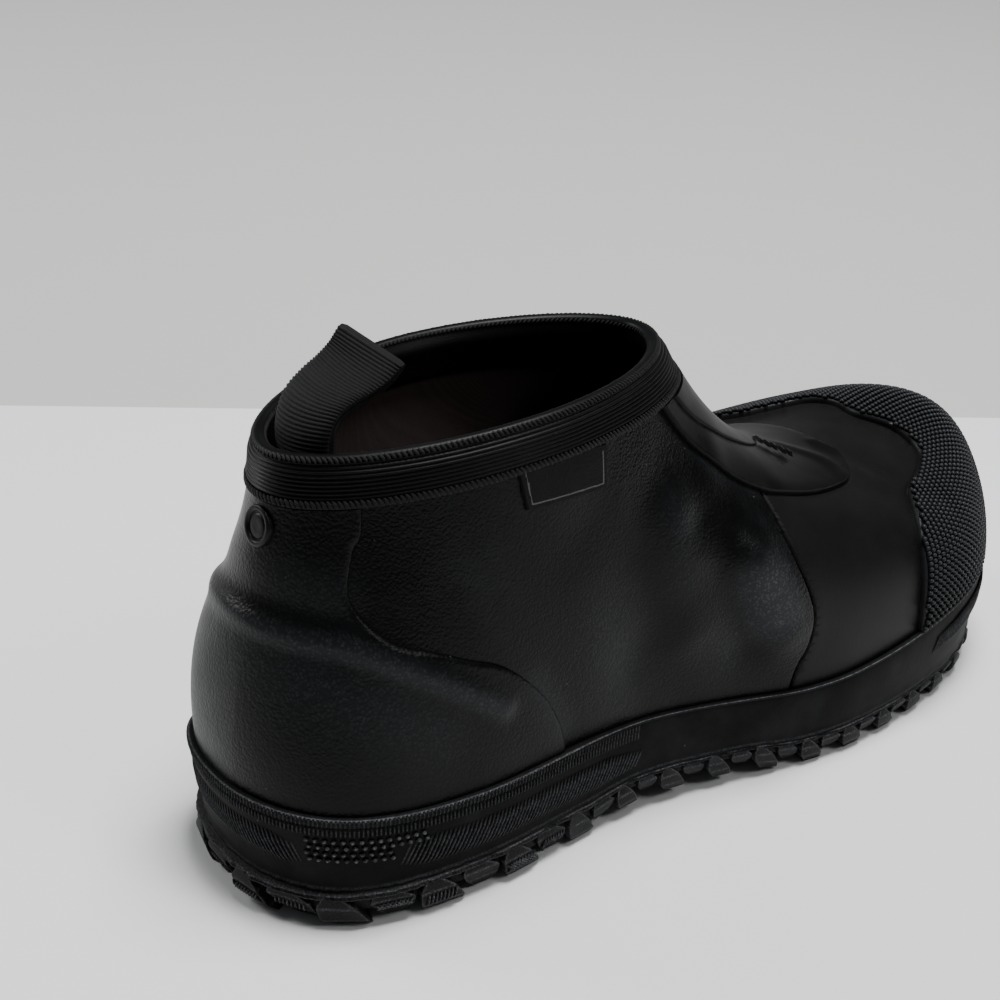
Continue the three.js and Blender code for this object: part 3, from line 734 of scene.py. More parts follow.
def shader_group(name: str, inputs: dict[str, float], outputs: Sequence[str]) -> tuple:
    """Starts a shader group that takes a vector and values and gives values.

    Args:
        name: The group's name.
        inputs: Names and defaults of its value inputs.
        outputs: Names of its value outputs.

    Returns:
        The group, a bench for it, its input node and its output node.
    """
    tree = bpy.data.node_groups.new(name, "ShaderNodeTree")
    tree.interface.new_socket("Vector", in_out="INPUT", socket_type="NodeSocketVector")
    for key, value in inputs.items():
        socket = tree.interface.new_socket(key, in_out="INPUT", socket_type="NodeSocketFloat")
        socket.default_value = value
    for key in outputs:
        tree.interface.new_socket(key, in_out="OUTPUT", socket_type="NodeSocketFloat")
    bench = NodeBench(tree)
    return tree, bench, bench.add("NodeGroupInput"), bench.add("NodeGroupOutput")


def pebble_group() -> NodeTree:
    """Makes the group for leather-like pebbles: cells of uneven size with creases between them."""
    tree, bench, source, result = shader_group(
        "pebble_grain", {"Scale": 900.0, "Unevenness": 0.6}, ["Height"])
    place = source.outputs["Vector"]
    wander = bench.add("ShaderNodeTexNoise", Vector=place, Scale=260.0, Detail=2.0)
    push = bench.add("ShaderNodeVectorMath", {"operation": "SCALE"}, i0=wander.outputs["Color"],
                     Scale=0.0016)
    place = bench.add("ShaderNodeVectorMath", i0=place, i1=push.outputs[0]).outputs[0]
    cells = bench.add("ShaderNodeTexVoronoi", {"feature": "SMOOTH_F1"}, Vector=place,
                      Scale=source.outputs["Scale"], Smoothness=0.35)
    large = bench.add("ShaderNodeTexNoise", Vector=place, Scale=420.0, Detail=3.0)
    swing = bench.math("MULTIPLY", large.outputs["Fac"], source.outputs["Unevenness"])
    cell = bench.math("SUBTRACT", 1.0, cells.outputs["Distance"])
    tree.links.new(bench.math("ADD", cell, swing), result.inputs["Height"])
    return tree


def dust_group() -> NodeTree:
    """Makes the group for dust: a broken pale film and a few specks."""
    tree, bench, source, result = shader_group("dust_film", {"Film": 0.4, "Specks": 0.5}, ["Mask"])
    place = source.outputs["Vector"]
    broad = bench.add("ShaderNodeTexNoise", Vector=place, Scale=34.0, Detail=6.0, Roughness=0.62)
    film = bench.add("ShaderNodeMapRange", {"interpolation_type": "SMOOTHSTEP"},
                     Value=broad.outputs["Fac"], From_Min=0.44, From_Max=0.74)
    dots = bench.add("ShaderNodeTexVoronoi", Vector=place, Scale=150.0)
    near = bench.math("LESS_THAN", dots.outputs["Distance"], 0.045)
    patch = bench.add("ShaderNodeTexNoise", Vector=place, Scale=60.0, Detail=3.0)
    where = bench.math("GREATER_THAN", patch.outputs["Fac"], 0.56)
    specks = bench.math("MULTIPLY", bench.math("MULTIPLY", near, where), source.outputs["Specks"])
    veil = bench.math("MULTIPLY", film.outputs["Result"], source.outputs["Film"])
    tree.links.new(bench.math("MAXIMUM", veil, specks), result.inputs["Mask"])
    return tree


def knit_group() -> NodeTree:
    """Makes the group for cloth: crossed waves of threads."""
    tree, bench, source, result = shader_group("cloth_threads", {"Scale": 700.0}, ["Height"])
    waves = [bench.add("ShaderNodeTexWave", {"bands_direction": axis}, Vector=source.outputs["Vector"],
                       Scale=source.outputs["Scale"], Distortion=1.5, Detail=1.0) for axis in ("X", "Z")]
    tree.links.new(bench.math("MAXIMUM", *(wave.outputs["Fac"] for wave in waves)), result.inputs["Height"])
    return tree


class Grain(Enum):
    """The fine surface of a finish."""

    PEBBLE = "pebble_grain"
    CLOTH = "cloth_threads"


@dataclass(frozen=True)
class Finish:
    """A rubber or cloth surface with its colour, gloss, grain and dust, and pale marks from the mesh for
    scuffs and painted highlights.
    """

    name: str
    color: tuple[float, float, float]
    roughness: float
    grain: Grain = Grain.PEBBLE
    grain_scale: float = 900.0
    grain_depth: float = 0.05
    dust: float = 0.35
    specks: float = 0.5
    # Pale colour of the dust film, also of the scuffs and painted highlights
    dust_and_highlight_color: tuple[float, float, float] = (0.026, 0.029, 0.031)
    dust_roughness: float = 0.3
    specular: float = 0.15
    crest: tuple[float, float] = (0.95, 1.30)
    crest_floor: float = 0.35
    mottle_scale: float = 90.0
    mottle_dark: float = 0.7
    mottle_roughness: float = 0.16
    sheen: float = 0.0
    sheen_roughness: float = 0.5
    # Whether the finish reads the pale mark of scuffs and painted highlights from the mesh
    wear_and_highlight: bool = False

    def build(self, groups: dict[str, NodeTree]) -> Material:
        """Makes the material.

        Args:
            groups: The shared shader groups by name.

        Returns:
            The material.
        """
        material = bpy.data.materials.new(self.name)
        material.use_nodes = True
        tree = material.node_tree
        shader = tree.nodes["Principled BSDF"]
        bench = NodeBench(tree)
        place = bench.add("ShaderNodeTexCoord").outputs["Object"]
        dust = bench.add("ShaderNodeGroup", {"node_tree": groups["dust_film"]},
                         Vector=place, Film=self.dust, Specks=self.specks).outputs["Mask"]
        height = bench.add("ShaderNodeGroup", {"node_tree": groups[self.grain.value]},
                           Vector=place, Scale=self.grain_scale).outputs["Height"]
        # Pale mark from the mesh, stronger on the grain's crests: scuffed rubber and painted highlights
        if self.wear_and_highlight:
            worn_and_highlit = bench.add("ShaderNodeAttribute", {"attribute_name": "wear_and_highlight"}).outputs["Fac"]
            crest = bench.add("ShaderNodeMapRange", {"interpolation_type": "SMOOTHSTEP"}, Value=height,
                              From_Min=self.crest[0], From_Max=self.crest[1], To_Min=self.crest_floor)
            worn_and_highlit = bench.math("MULTIPLY", worn_and_highlit, crest.outputs["Result"], clamp=True)
            dust = bench.math("MAXIMUM", dust, worn_and_highlit)
        mottle = bench.add("ShaderNodeTexNoise", Vector=place, Scale=self.mottle_scale, Detail=4.0)
        dark = tuple(self.mottle_dark * c for c in self.color)
        rubber = bench.blend(mottle.outputs["Fac"], (*dark, 1.0), (*self.color, 1.0))
        # The base colour turns pale under dust, scuffs and painted highlights
        tree.links.new(bench.blend(dust, rubber, (*self.dust_and_highlight_color, 1.0)), shader.inputs["Base Color"])
        rough = bench.math("MULTIPLY", mottle.outputs["Fac"], self.mottle_roughness)
        rough = bench.math("ADD", rough, self.roughness - self.mottle_roughness / 2)
        rough = bench.math("ADD", rough, bench.math("MULTIPLY", dust, self.dust_roughness), clamp=True)
        tree.links.new(rough, shader.inputs["Roughness"])
        bump = bench.add("ShaderNodeBump", Height=height, Distance=self.grain_depth * MM, Strength=1.0)
        tree.links.new(bump.outputs["Normal"], shader.inputs["Normal"])
        shader.inputs["Specular IOR Level"].default_value = self.specular
        if self.sheen:
            shader.inputs["Sheen Weight"].default_value = self.sheen
            shader.inputs["Sheen Roughness"].default_value = self.sheen_roughness
        return material


SMOOTH = {"grain_scale": 2200.0, "grain_depth": 0.03}
PEBBLED = {"grain_depth": 0.10, "dust": 0.06, "wear_and_highlight": True, "specular": 0.11, "crest": (0.70, 1.40)}
# The pale colours below serve the dust and the painted highlights that the mesh carries
FINISHES = (
    Finish("outsole_rubber", (0.0024, 0.0024, 0.0026), 0.58, grain_scale=1500.0, grain_depth=0.10,
           dust=0.20, wear_and_highlight=True, dust_and_highlight_color=(0.110, 0.112, 0.120), specular=0.12, crest=(0.7, 1.15)),
    Finish("foxing_rubber", (0.0017, 0.0018, 0.0020), 0.60, grain_scale=1700.0, grain_depth=0.05,
           dust=0.08, wear_and_highlight=True, dust_and_highlight_color=(0.100, 0.103, 0.110), specular=0.07, crest=(0.6, 1.05)),
    Finish("quarter_rubber", (0.0011, 0.0012, 0.0014), 0.34, grain_scale=1150.0,
           dust_and_highlight_color=(0.064, 0.068, 0.074), **PEBBLED),
    Finish("counter_rubber", (0.0010, 0.0011, 0.0013), 0.35, grain_scale=1050.0,
           dust_and_highlight_color=(0.052, 0.055, 0.060), **PEBBLED),
    Finish("vamp_rubber", (0.0062, 0.0062, 0.0063), 0.40, dust=0.05, wear_and_highlight=True, specular=0.10, **SMOOTH),
    Finish("gusset_rubber", (0.0027, 0.0027, 0.0029), 0.40, dust=0.08, specular=0.09, **SMOOTH),
    Finish("seam_shadow", (0.0004, 0.0004, 0.0004), 0.9, grain_depth=0.01, dust=0.0, specks=0.0,
           specular=0.0),
    Finish("guard_rubber", (0.0085, 0.0088, 0.0097), 0.42, grain_scale=2000.0, grain_depth=0.02,
           dust=0.10, wear_and_highlight=True, dust_and_highlight_color=(0.050, 0.053, 0.060)),
    Finish("binding_rubber", (0.0014, 0.0015, 0.0018), 0.42, dust=0.05, specular=0.11, **SMOOTH),
    Finish("stitch_thread", (0.0030, 0.0031, 0.0035), 0.60, Grain.CLOTH, 3000.0, 0.02, dust=0.1,
           sheen=0.04),
    Finish("webbing", (0.0022, 0.0023, 0.0026), 0.66, Grain.CLOTH, 2600.0, 0.05, dust=0.06, sheen=0.03),
    Finish("label_weave", (0.0026, 0.0026, 0.0029), 0.7, Grain.CLOTH, 3200.0, 0.03, dust=0.05),
    Finish("label_thread", (0.10, 0.10, 0.105), 0.8, Grain.CLOTH, 3200.0, 0.03, dust=0.05),
    Finish("lining", (0.030, 0.020, 0.018), 0.92, Grain.CLOTH, 1100.0, 0.12, dust=0.04, sheen=0.05),
    Finish("button_rubber", (0.0020, 0.0022, 0.0026), 0.42, dust=0.06, **SMOOTH),
)


# What repeats


@dataclass
class Spots:
    """Where a repeated shape stands: rows of places, facings, ways that it runs, and scales."""

    rows: list[tuple[Array, Array, Array, Array]] = field(default_factory=list)

    def add(self, places: Array, facing: Array, way: Array, scales: Array | float = 1.0) -> "Spots":
        """Adds a row of places; one facing, way or scale may serve all of it.

        Args:
            places: The places, in millimetres from the back of the heel.
            facing: The way that each shape stands.
            way: The way that its length runs.
            scales: Its scale in its three directions.

        Returns:
            The spots.
        """
        self.rows.append((places, *(np.broadcast_to(a, places.shape) for a in (facing, way, scales))))
        return self

    def columns(self) -> list[Array]:
        """Gives the places, facings, ways and scales of all rows."""
        return [np.vstack(column) for column in zip(*self.rows)]


class Element(Enum):
    """The small shape that is set at each place."""

    BUMP = "bump"
    RIB = "rib"
    BEAD = "bead"


class Repeat:
    """A Geometry Nodes tree that sets one small shape at each vertex of a carrier mesh."""

    SEED = 7

    def __init__(self, element: Element) -> None:
        """Builds the tree for an element, with inputs for its size and unevenness.

        Args:
            element: The small shape.
        """
        self.tree = bpy.data.node_groups.new(f"repeat_{element.value}", "GeometryNodeTree")
        face = self.tree.interface
        face.new_socket("Geometry", in_out="INPUT", socket_type="NodeSocketGeometry")
        kinds = dict.fromkeys(("Width", "Length", "Height", "Unevenness", "Wear_and_highlight"), "Float")
        kinds |= {"Seed": "Int", "Finish": "Material"}
        self.sockets = {key: face.new_socket(key, in_out="INPUT", socket_type=f"NodeSocket{kind}")
                        for key, kind in kinds.items()}
        face.new_socket("Geometry", in_out="OUTPUT", socket_type="NodeSocketGeometry")
        bench = NodeBench(self.tree)
        source = bench.add("NodeGroupInput").outputs
        size = bench.add("ShaderNodeCombineXYZ", X=source["Width"], Y=source["Length"], Z=source["Height"])
        position = bench.add("GeometryNodeInputPosition")
        height = bench.add("ShaderNodeSeparateXYZ", Vector=position.outputs[0])
        # Each element's top is paler by its height: painted highlight on its top, and scuffed rubber
        worn_and_highlit = bench.math("MULTIPLY", height.outputs["Z"], source["Wear_and_highlight"], clamp=True)
        shape = bench.add("GeometryNodeStoreNamedAttribute", {"data_type": "FLOAT", "domain": "POINT"},
                          Geometry=self.shape(bench, element), Name="wear_and_highlight", Value=worn_and_highlit)
        facing, along, scales = (
            bench.add("GeometryNodeInputNamedAttribute", {"data_type": "FLOAT_VECTOR"}, Name=key).outputs[0]
            for key in ("facing", "along", "size"))
        stood = bench.add("FunctionNodeAlignRotationToVector", {"axis": "Z"}, Vector=facing)
        turned = bench.add("FunctionNodeAlignRotationToVector", {"axis": "Y", "pivot_axis": "Z"},
                           Rotation=stood.outputs[0], Vector=along)
        spread = bench.add("FunctionNodeRandomValue", {"data_type": "FLOAT"}, Seed=source["Seed"],
                           i2=-1.0, i3=1.0)
        swing = bench.math("MULTIPLY", spread.outputs[1], source["Unevenness"])
        grown = bench.math("ADD", swing, 1.0)
        scale = bench.add("ShaderNodeVectorMath", {"operation": "SCALE"}, i0=size.outputs[0], Scale=grown)
        sized = bench.add("ShaderNodeVectorMath", {"operation": "MULTIPLY"}, i0=scale.outputs[0], i1=scales)
        points = bench.add("GeometryNodeMeshToPoints", Mesh=source["Geometry"])
        placed = bench.add("GeometryNodeInstanceOnPoints", Points=points.outputs[0],
                           Instance=shape.outputs[0], Rotation=turned.outputs[0], Scale=sized.outputs[0])
        real = bench.add("GeometryNodeRealizeInstances", Geometry=placed.outputs[0])
        dressed = bench.add("GeometryNodeSetMaterial", Geometry=real.outputs[0], Material=source["Finish"])
        bench.add("NodeGroupOutput", Geometry=dressed.outputs[0])

    @staticmethod
    def shape(bench: NodeBench, element: Element) -> Socket:
        """Adds the element's own shape, one unit in size and standing on z = 0."""
        if element is Element.BEAD:
            return bench.add("GeometryNodeMeshUVSphere", Segments=8, Rings=5, Radius=0.5).outputs[0]
        sides, top, foot = (4, 0.34, 0.7071) if element is Element.RIB else (8, 0.2, 0.5)
        cone = bench.add("GeometryNodeMeshCone", {"fill_type": "NGON"}, Vertices=sides, Radius_Top=top,
                         Radius_Bottom=foot, Depth=1.0)
        if element is Element.BUMP:
            return cone.outputs[0]
        square = (0.0, 0.0, math.pi / 4)
        return bench.add("GeometryNodeTransform", Geometry=cone.outputs[0], Rotation=square).outputs[0]

    def make(self, name: str, spots: Spots, size: tuple[float, float, float], material: Material,
             unevenness: float = 0.0, wear_and_highlight: float = 0.0, smooth: bool = False) -> Object:
        """Sets the element at spots and turns the result into a plain mesh.

        Args:
            name: The piece's name.
            spots: Where and how each element stands.
            size: Width, length and height in millimetres.
            material: The finish.
            unevenness: Random share of its size.
            wear_and_highlight: How pale its top is, as scuffed rubber and as a painted highlight.
            smooth: Whether it is shaded smooth.

        Returns:
            The object.
        """
        points, facing, along, scales = spots.columns()
        obj = new_object(name, points, [], material)
        vectors = {"facing": facing, "along": along, "size": scales}
        for key, values in vectors.items():
            attribute = obj.data.attributes.new(key, "FLOAT_VECTOR", "POINT")
            attribute.data.foreach_set("vector", np.asarray(values, np.float32).ravel())
        modifier = obj.modifiers.new("repeat", "NODES")
        modifier.node_group = self.tree
        values = {"Width": size[0] * MM, "Length": size[1] * MM, "Height": size[2] * MM,
                  "Unevenness": unevenness, "Wear_and_highlight": wear_and_highlight, "Seed": self.SEED, "Finish": material}
        for key, value in values.items():
            modifier[self.sockets[key].identifier] = value
        depsgraph = bpy.context.evaluated_depsgraph_get()
        made = bpy.data.meshes.new_from_object(obj.evaluated_get(depsgraph))
        obj.modifiers.clear()
        obj.data = made
        for key in vectors:
            if key in made.attributes:
                made.attributes.remove(made.attributes[key])
        made.polygons.foreach_set("use_smooth", [smooth] * len(made.polygons))
        return obj


@dataclass(frozen=True)
class Lamp:
    """A soft square light: its place and side in metres, and its power in watts."""

    name: str
    place: tuple[float, float, float]
    side: float
    power: float

    def build(self, aim: Vector) -> None:
        """Adds the light."""
        data = bpy.data.lights.new(self.name, "AREA")
        data.shape = "SQUARE"
        data.size = self.side
        data.energy = self.power
        lamp = bpy.data.objects.new(self.name, data)
        bpy.context.scene.collection.objects.link(lamp)
        lamp.location = self.place
        lamp.rotation_euler = (aim - Vector(self.place)).to_track_quat("-Z", "Y").to_euler()


@dataclass
class Studio:
    """The pale floor, backdrop, soft lights and the camera."""

    azimuth: float = 49.49
    elevation: float = 22.91
    roll: float = 0.72
    distance: float = 504.9
    lens: float = 54.0
    sensor: float = 36.0
    target: tuple[float, float, float] = (-41.37, 129.17, 71.48)
    floor_color: tuple[float, float, float] = (0.74, 0.745, 0.745)
    backdrop_color: tuple[float, float, float] = (0.475, 0.47, 0.465)
    backdrop_distance: float = 290.0
    backdrop_slope: float = 15.0
    reach: float = 3000.0
    depth: float = 2600.0
    air_color: tuple[float, float, float] = (0.93, 0.96, 1.0)
    air_strength: float = 0.08
    aim: tuple[float, float, float] = (0.0, 0.0, 0.05)
    lamps: tuple[Lamp, ...] = (
        Lamp("ceiling_light", (0.1, 0.15, 1.5), 0.6, 40.0),
        Lamp("window_light", (-1.2, -0.7, 0.8), 0.5, 11.0),
        Lamp("front_fill", (1.0, 0.3, 1.1), 0.4, 5.0))

    def back(self) -> Array:
        """Gives the unit vector from the target to the camera."""
        a, e = math.radians(self.azimuth), math.radians(self.elevation)
        return np.array([math.sin(a) * math.cos(e), -math.cos(a) * math.cos(e), math.sin(e)])

    def camera(self) -> None:
        """Makes the camera at the photograph's angle."""
        back = self.back()
        a, r = math.radians(self.azimuth), math.radians(self.roll)
        right = np.array([math.cos(a), math.sin(a), 0.0])
        up = np.cross(back, right)
        turned = math.cos(r) * right + math.sin(r) * up
        upright = -math.sin(r) * right + math.cos(r) * up
        data = bpy.data.cameras.new("camera")
        data.lens = self.lens
        data.sensor_width = self.sensor
        camera = bpy.data.objects.new("camera", data)
        bpy.context.scene.collection.objects.link(camera)
        place = LAST.metres(np.array(self.target) + back * self.distance)
        rows = np.stack([turned, upright, back, place], -1).tolist()
        camera.matrix_world = Matrix([*rows, [0, 0, 0, 1]])
        bpy.context.scene.camera = camera

    def stage(self) -> None:
        """Makes the floor and the rising backdrop behind it, which belong to no piece."""
        away = units(-self.back() * np.array([1, 1, 0]))
        across = np.array([-away[1], away[0], 0.0])
        foot = np.array([*self.target[:2], 0.0]) + away * self.backdrop_distance
        near = [foot - across * self.reach, foot + across * self.reach]
        rise = away * self.depth + UP * self.depth * math.tan(math.radians(self.backdrop_slope))
        for name, color, way in (("studio_floor", self.floor_color, -away * self.depth),
                                 ("studio_backdrop", self.backdrop_color, rise)):
            corners = np.array(near + [corner + way for corner in near[::-1]])
            new_object(name, corners, [[0, 1, 2, 3]], self.plain(name, color), False)

    @staticmethod
    def plain(name: str, color: tuple[float, float, float]) -> Material:
        """Makes a plain matt material."""
        material = bpy.data.materials.new(name)
        material.use_nodes = True
        shader = material.node_tree.nodes["Principled BSDF"]
        shader.inputs["Base Color"].default_value = (*color, 1.0)
        shader.inputs["Roughness"].default_value = 0.85
        return material

    def build(self) -> None:
        """Makes the whole set."""
        self.camera()
        self.stage()
        for lamp in self.lamps:
            lamp.build(Vector(self.aim))
        world = bpy.data.worlds.new("studio_air")
        world.use_nodes = True
        background = world.node_tree.nodes["Background"]
        background.inputs["Color"].default_value = (*self.air_color, 1.0)
        background.inputs["Strength"].default_value = self.air_strength
        bpy.context.scene.world = world


# Pieces


def height_line(u: Array, height: Height) -> Array:
    """Gives the v at which the form reaches a height, at any u."""
    table = np.linspace(0, 1, RING_STEPS)
    return np.interp(u % 1.0, table, LAST.share_at(table, height))


def band_places(u: Array, drops: Array, height: Height) -> Array:
    """Gives v at u for each drop below a height line.

    Args:
        u: Places round the shoe.
        drops: Distances below the line, in millimetres.
        height: The line.

    Returns:
        One row of v for each drop.
    """
    steps = np.linspace(min(drops), max(drops), 9)
    known = np.array([height_line(u, lambda y, d=d: height(y) - d) for d in steps])
    return np.array([[np.interp(drop, steps, known[:, i]) for i in range(len(u))] for drop in drops])


def furrow(depth: Array, place: float, spread: float) -> Array:
    """Gives a rounded rise and fall of one unit about a depth."""
    return np.exp(-((depth - place) / spread) ** 2)


@dataclass
class Upper:
    """The hollow rubber shell, with its lining."""

    wall: float = 1.6
    full_wall: float = 2.5
    lining_gap: float = 0.1
    foot_gap: float = 0.3
    rim_drop: float = 2.0
    quarter_step: float = 0.4
    edge_radius: float = 0.6
    seam_levels: tuple[float, ...] = (0.0, 0.25, 0.5, 0.8, 1.2, 1.7)
    groove: float = 1.5
    groove_place: float = 0.8
    groove_spread: float = 0.6
    gap_span: tuple[float, float] = (-0.5, 1.2)
    lip_levels: tuple[float, ...] = (-0.7, -0.3, 0.0)
    lip_groove: float = 0.3
    lip_place: float = -0.2
    lip_spread: float = 0.3
    columns: int = 400
    rows: int = 96
    lining_columns: int = 260
    lining_rows: int = 60
    seam: Region = field(default_factory=lambda: LAST.side_region(SEAM_LINE, True))
    lips: Sequence[Region] = field(default_factory=lambda: (
        LAST.plan_region(GUSSET_LINE, LAST.outer_half, False),
        LAST.plan_region(GUARD_LINE, LAST.inner_half, True)))

    def foot(self, y: Array) -> Array:
        """Gives the height of the shell's lower edge at y."""
        return LAST.sole_top(y) + self.foot_gap

    def rim(self, y: Array) -> Array:
        """Gives the height of the shell's upper edge at y."""
        return LAST.collar_top(y) - self.rim_drop

    def build(self, quarter: Material, vamp: Material,
              gap: Material) -> None:
        """Makes the shell, whose quarters lap over the vamp along a fine groove."""
        r = self.edge_radius
        patch = Patch((0.0, 1.0), self.foot, self.rim, self.columns, self.rows)
        patch.cut(self.seam, [-r, -0.5 * r, -0.15 * r, *self.seam_levels])
        for region in self.lips:
            patch.cut(region, self.lip_levels)
        depth = patch.depth(self.seam)
        lap = -self.quarter_step * (1 - rounded(-depth, r))
        groove = -self.groove * furrow(depth, self.groove_place, self.groove_spread) * (depth > 1e-4)
        for region in self.lips:
            groove -= self.lip_groove * furrow(patch.depth(region), self.lip_place, self.lip_spread)
        obj = patch.shell("upper_shell", lap + groove, -self.wall, quarter)
        # Faces in the seam's slit take the seam_shadow finish: painted shade in the groove
        inner = self.seam.depth(LAST.face_centres(obj))
        in_gap = (inner > self.gap_span[0]) & (inner < self.gap_span[1])
        paint_faces(obj, np.where(in_gap, 2, inner > 0), vamp, gap)
        # Painted highlights on the quarters and vamp
        paint_highlights(obj)
        settle(obj, "quarter_rubber", "upper")

    def build_lining(self, material: Material) -> None:
        """Makes the knitted lining inside the shell."""
        u = np.arange(self.lining_columns) / self.lining_columns
        low, high = height_line(u, self.foot), height_line(u, self.rim)
        shares = np.linspace(0, 1, self.lining_rows + 1)
        rows = []
        for offset, order in ((-self.wall - self.lining_gap, shares), (-self.full_wall, shares[::-1])):
            rows += [LAST.skin(u, low + (high - low) * share, offset) for share in order]
        settle(ring_object("upper_lining", np.array(rows)[::-1], material), "lining")


@dataclass
class Ladder:
    """A closed plate whose faces run straight across the shoe between its two sides."""

    count: int

    def faces(self, start: int, up: bool) -> list[list[int]]:
        """Gives the faces of a plate's top or underside.

        Args:
            start: Number of the ring's first vertex.
            up: Whether the faces look up.

        Returns:
            The faces.
        """
        n = self.count
        made = []
        for i in range(n // 2):
            distinct = list(dict.fromkeys([i, i + 1, n - i - 1, (n - i) % n]))
            if len(distinct) > 2:
                made.append([start + k for k in (distinct if up else distinct[::-1])])
        return made

    def build(self, name: str, rings: Array, material: Material) -> Object:
        """Makes the plate."""
        rows = len(rings)
        faces = band_faces(rows, self.count)
        faces += self.faces(0, False) + self.faces((rows - 1) * self.count, True)
        obj = new_object(name, rings.reshape(-1, 3), faces, material)
        sharpen(obj, 40)
        return obj


@dataclass
class Insole:
    """The footbed."""

    thickness: float = 3.0
    gap: float = 0.3
    inset: float = 2.8
    edge: float = 0.9
    wall_height: float = 2.0
    count: int = 300
    section: tuple[tuple[float, float], ...] = (
        (0.3, 0.0), (0.0, 0.25), (0.0, 0.7), (0.35, 0.92), (1.0, 1.0))

    def build(self, material: Material) -> None:
        """Makes the footbed with a rounded upper edge."""
        u = np.arange(self.count) / self.count
        inner = LAST.skin(u, height_line(u, lambda y: LAST.sole_top(y) + self.wall_height), -self.inset, 0)
        _, normal = LAST.outline(u)
        rings = []
        for inset, rise in self.section:
            ring = inner.copy()
            ring[:, :2] -= normal * inset * self.edge
            ring[:, 2] = LAST.sole_top(ring[:, 1]) + self.gap + self.thickness * rise
            rings.append(ring)
        settle(Ladder(self.count).build("footbed", np.array(rings), material), "lining", "insole")


